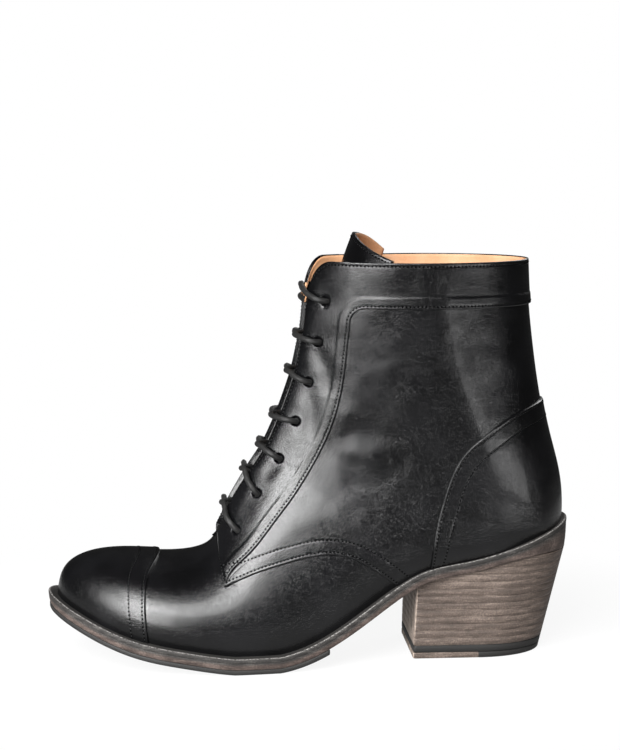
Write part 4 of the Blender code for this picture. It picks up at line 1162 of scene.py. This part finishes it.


# Stacked lifts: brown leather streaked along each lift, pale lines between them, and a breast with pale
# scratches that is also painted paler all over as painted light
def stackedLeather():
    paint = Finish("stackedLeather", Specular_IOR_Level=0.35)
    x, y, z = paint.axes()
    wander = (paint.noise(22.0, 2.0) - 0.5) * 1.4
    crease = (((z + wander) / heelForm["lift"]).part() - 0.5).size()
    pale = (0.5 - crease).rise(0.055, 0.0)
    streak, speck = paint.noise(0.9, 4.0, 0.65, (11, 11, 1)), paint.noise(0.8, 4.0, 0.7)
    cloud = paint.noise(12.0, 3.0, 0.5, (2, 2, 1))
    tone = paint.shades(cloud * 0.25 + streak * 0.35 + speck * 0.4, (0.34, (0.03, 0.023, 0.019)),
                        (0.5, (0.085, 0.064, 0.053)), (0.68, (0.23, 0.18, 0.15)))
    tone = paint.blend(pale * streak.rise(0.42, 0.62) * 0.7, tone, colour(0.36, 0.29, 0.245))
    # Breast face: real pale scratches, and a quarter of the pale colour over all of it as painted light
    breast = 1 - (x - z / 26).rise(50.1, 50.6)
    scratch = paint.noise(2.2, 4.0, 0.6, (1, 1, 9), (0.5, 0, 0)).rise(0.42, 0.62)
    tone = paint.blend(breast * (scratch * 0.75 + 0.25), tone, colour(0.42, 0.34, 0.285))
    return paint.set(Base_Color=tone, Roughness=0.48 + speck * 0.2,
                     Normal=paint.bump(streak * 0.12 + speck * 0.05 - pale * 0.1))


stacked = stackedLeather()
halfLift = heelForm["lift"] / 2
levels = np.arange(heelForm["stackFrom"], heelForm["height"] - 2, heelForm["lift"])
grooves = (levels[1:, None] + heelForm["grooveLevels"]).ravel()
stackZ = np.sort(np.r_[grooves, levels + halfLift, heelForm["endLevels"]])
toGroove = np.abs((stackZ - heelForm["stackFrom"] + halfLift) % heelForm["lift"] - halfLift)
low, high = heelForm["grooved"]
inGroove = (toGroove < heelForm["grooveReach"]) & (stackZ > low) & (stackZ < high)
stackInset = np.where(inGroove, heelForm["groove"], 0.0)
stackInset[:3] = heelForm["edge"]
heelBody("heelStack", stackZ, stackInset, stacked, ["heel_stack"], seated=True)
edgeInset = heelForm["edge"] + heelForm["edge"][::-1]
heelBody("topLift", heelForm["liftLevels"], edgeInset, rubber, ["top_lift"])
heelBody("topPieceLeather", heelForm["pieceLevels"], edgeInset, stacked,
         ["top_piece_leather"], backX=heelForm["pieceEnd"])
heelBody("topPieceRubber", heelForm["pieceLevels"], edgeInset, rubber,
         ["top_piece_rubber"], frontX=heelForm["pieceStart"])
print("heel")

# Lace: two strands, each out of an eyelet, over its facing's edge, across the throat ahead of the other
# strand or behind it, under the far facing and up to the next eyelet there. An arm's rows are its share of
# the way from eyelet to edge, its height over the last, and its share of the top row's rise.
lace = {"radius": 1.45, "step": 0.5, "around": 16, "strands": 4, "lay": 5.2, "relief": 0.16, "arch": 3.0,
        "arm": ((0.0, -4.5, 0.0), (0.0, 0.2, 0.0), (0.25, 4.0, 0.2), (0.62, 3.7, 0.6), (1.0, 2.8, 1.0)),
        "under": ((1.0, -3.6), (0.6, -4.4)), "ahead": (-3.0, 0.0, 0.4), "behind": (-0.6, 0.0, -1.2),
        "topRise": 4.2, "topCrossing": 1.6}


def lacePath(firstSide):
    path = []
    for row in range(eyelets["rows"]):
        side = firstSide * (-1) ** row

        def over(way, height, face=side):
            ends = np.stack([eyeletChart[face][row], laceEdge[row]])
            share = np.array([[1 - way], [way]])
            base, normal = (form(ends[:, 0], ends[:, 1], face) for form in (lastPoint, lastNormal))
            arched = height + lace["arch"] * way * (1 - way)
            return (base * share).sum(0) + arched * unit((normal * share).sum(0))

        middle = (over(1.0, 0) + over(1.0, 0, -side)) / 2
        rise = np.array([0, 0, lace["topRise"] * (side < 0 and row == eyelets["rows"] - 1)])
        path += [over(way, height) + share * rise for way, height, share in lace["arm"]]
        path.append(middle + (lace["ahead"] + lace["topCrossing"] * rise if side < 0 else lace["behind"]))
        path += [over(way, height, -side) for way, height in lace["under"]]
    return np.array(path)


# Tube round a path: a frame carried along without twist, and a plaited relief of crossing strands
def tube(path, radius):
    chords = runLength(path)
    line = naturalCurve(chords, path)(np.linspace(0, chords[-1], int(chords[-1] / lace["step"])))
    tangent = unit(np.gradient(line, axis=0))
    side = np.empty_like(line)
    side[0] = unit(np.cross(tangent[0], (0.3, 0.9, 0.2)))
    for k in range(1, len(line)):
        carried = side[k - 1] - tangent[k] * (side[k - 1] @ tangent[k])
        side[k] = carried / np.linalg.norm(carried)
    third = np.cross(tangent, side)
    turn = roundTurns(lace["around"])
    along = runLength(line)[:, None]
    lay = 2 * math.pi * along / lace["lay"]
    plait = np.maximum(np.cos(lace["strands"] * turn + lay), np.cos(lace["strands"] * turn - lay))
    reach = radius + lace["relief"] * (plait - 1)
    ends = np.minimum(along, along[-1] - along)
    reach = reach * np.sqrt(np.clip(ends / radius, 0.001, 1))
    ring = side[:, None] * np.cos(turn)[:, None] + third[:, None] * np.sin(turn)[:, None]
    return line[:, None] + ring * reach[..., None]


# Matt black cord with fine fibres
def waxedCord():
    paint = Finish("waxedCord", Specular_IOR_Level=0.45)
    fibre, cloud = paint.noise(0.35, 3.0), paint.noise(5.0, 2.0)
    tone = paint.blend(fibre * 0.7 + cloud * 0.3, colour(0.004, 0.004, 0.004), colour(0.017, 0.0165, 0.016))
    return paint.set(Base_Color=tone, Roughness=0.52 + fibre * 0.2, Normal=paint.bump(fibre * 0.08))


cord = waxedCord()
tubes = [tube(lacePath(firstSide), lace["radius"]) for firstSide in sides]
first = np.cumsum([0] + [t.shape[0] * t.shape[1] for t in tubes])
laceFaces = np.concatenate([gridFaces(*t.shape[:2], n, closed=True) for t, n in zip(tubes, first)])
addPiece("lace", np.concatenate([t.reshape(-1, 3) for t in tubes]), laceFaces, [cord],
         ["lace_cross_%d" % k for k in range(1, eyelets["rows"] + 1)], outward=True)
print("lace")


# Stage: a wide white floor, and a camera at the photo's place
studio = {"camera": (-64.87, -935.13, 262.0), "aim": (0.0, -7.4, 140.0), "lens": 91.85, "floor": 3000.0,
          "floorZ": -0.05, "room": 0.03, "paperX": 290.0, "paperY": 230.0, "paperMiddleY": 40.0, "glow": 0.9,
          "bounce": 0.4}


def turnTo(thing, target):
    thing.rotation_euler = (Vector(target) * mm - thing.location).to_track_quat("-Z", "Y").to_euler()


# White paper: near the boot it takes a soft shadow, further out it is even white for the camera, and the
# leather sees it end
def paleFloor():
    paint = Finish("paleFloor", Specular_IOR_Level=0.2, Base_Color=colour(0.86, 0.86, 0.86), Roughness=0.8)
    x, y, z = paint.axes()
    away = (x / studio["paperX"]) ** 2 + ((y - studio["paperMiddleY"]) / studio["paperY"]) ** 2
    seen = paint.node("ShaderNodeLightPath", output="Is Camera Ray")
    white = seen.most(studio["bounce"] * (1 - away.rise(1.5, 5.0) * 0.9))
    glow = paint.blend(white, colour(0, 0, 0), colour(1, 1, 1))
    lit = paint.node("ShaderNodeEmission", None, {"Color": glow})
    share = away.rise(0.2, 1.0) * (1 - studio["glow"]) + studio["glow"]
    paper = Wire(paint, paint.shader.outputs[0])
    mixed = paint.node("ShaderNodeMixShader", None, {0: share, 1: paper, 2: lit})
    paint.put(paint.tree.nodes["Material Output"].inputs["Surface"], mixed)
    return paint.material


def addFloor():
    reach, z = studio["floor"] * mm, studio["floorZ"] * mm
    mesh = bpy.data.meshes.new("floor")
    mesh.from_pydata([(-reach, -reach, z), (reach, -reach, z), (reach, reach, z), (-reach, reach, z)], [],
                     [(0, 1, 2, 3)])
    mesh.materials.append(paleFloor())
    floor = bpy.data.objects.new("floor", mesh)
    bpy.context.scene.collection.objects.link(floor)


def addCamera():
    view = bpy.data.cameras.new("camera")
    view.lens = studio["lens"]
    camera = bpy.data.objects.new("camera", view)
    camera.location = Vector(studio["camera"]) * mm
    turnTo(camera, studio["aim"])
    bpy.context.scene.collection.objects.link(camera)
    bpy.context.scene.camera = camera


# Softboxes: centre, the point that each faces, width, height, brightness and spread in degrees
softboxes = {
    "strip": ((-720, -1220, 560), (0, -20, 130), 800, 1250, 8.5, 180),
    "front": ((-430, -920, 960), (-60, 0, 50), 1100, 640, 12.5, 180),
    "toeCard": ((-330, -250, 130), (-95, -38, 24), 300, 220, 1.2, 55),
    "lowHeel": ((405, -424, 48), (90, -35, 90), 400, 84, 6.0, 180),
    "back": ((750, 900, 850), (0, 0, 110), 900, 900, 3.0, 180),
}


def addSoftbox(name, place, target, width, height, brightness, spread):
    lamp = bpy.data.lights.new(name, "AREA")
    lamp.shape, lamp.size, lamp.size_y = "RECTANGLE", width * mm, height * mm
    lamp.energy = math.pi * width * height * mm ** 2 * brightness
    lamp.spread = math.radians(spread)
    softbox = bpy.data.objects.new(name, lamp)
    softbox.location = Vector(place) * mm
    turnTo(softbox, target)
    bpy.context.scene.collection.objects.link(softbox)


# White where the camera sees past the floor, and a dim room for everything else
def addWorld():
    world = bpy.data.worlds.new("studio")
    world.use_nodes = True
    nodes, links = world.node_tree.nodes, world.node_tree.links
    seen = nodes.new("ShaderNodeLightPath").outputs["Is Camera Ray"]
    level = nodes.new("ShaderNodeMapRange")
    level.inputs["To Min"].default_value, level.inputs["To Max"].default_value = studio["room"], 1.0
    links.new(seen, level.inputs["Value"])
    nodes["Background"].inputs["Color"].default_value = colour(1, 1, 1)
    links.new(level.outputs["Result"], nodes["Background"].inputs["Strength"])
    bpy.context.scene.world = world


addFloor()
addCamera()
addWorld()
for name, form in softboxes.items():
    addSoftbox(name, *form)
bpy.context.scene.view_settings.view_transform = "Standard"
print("stage")
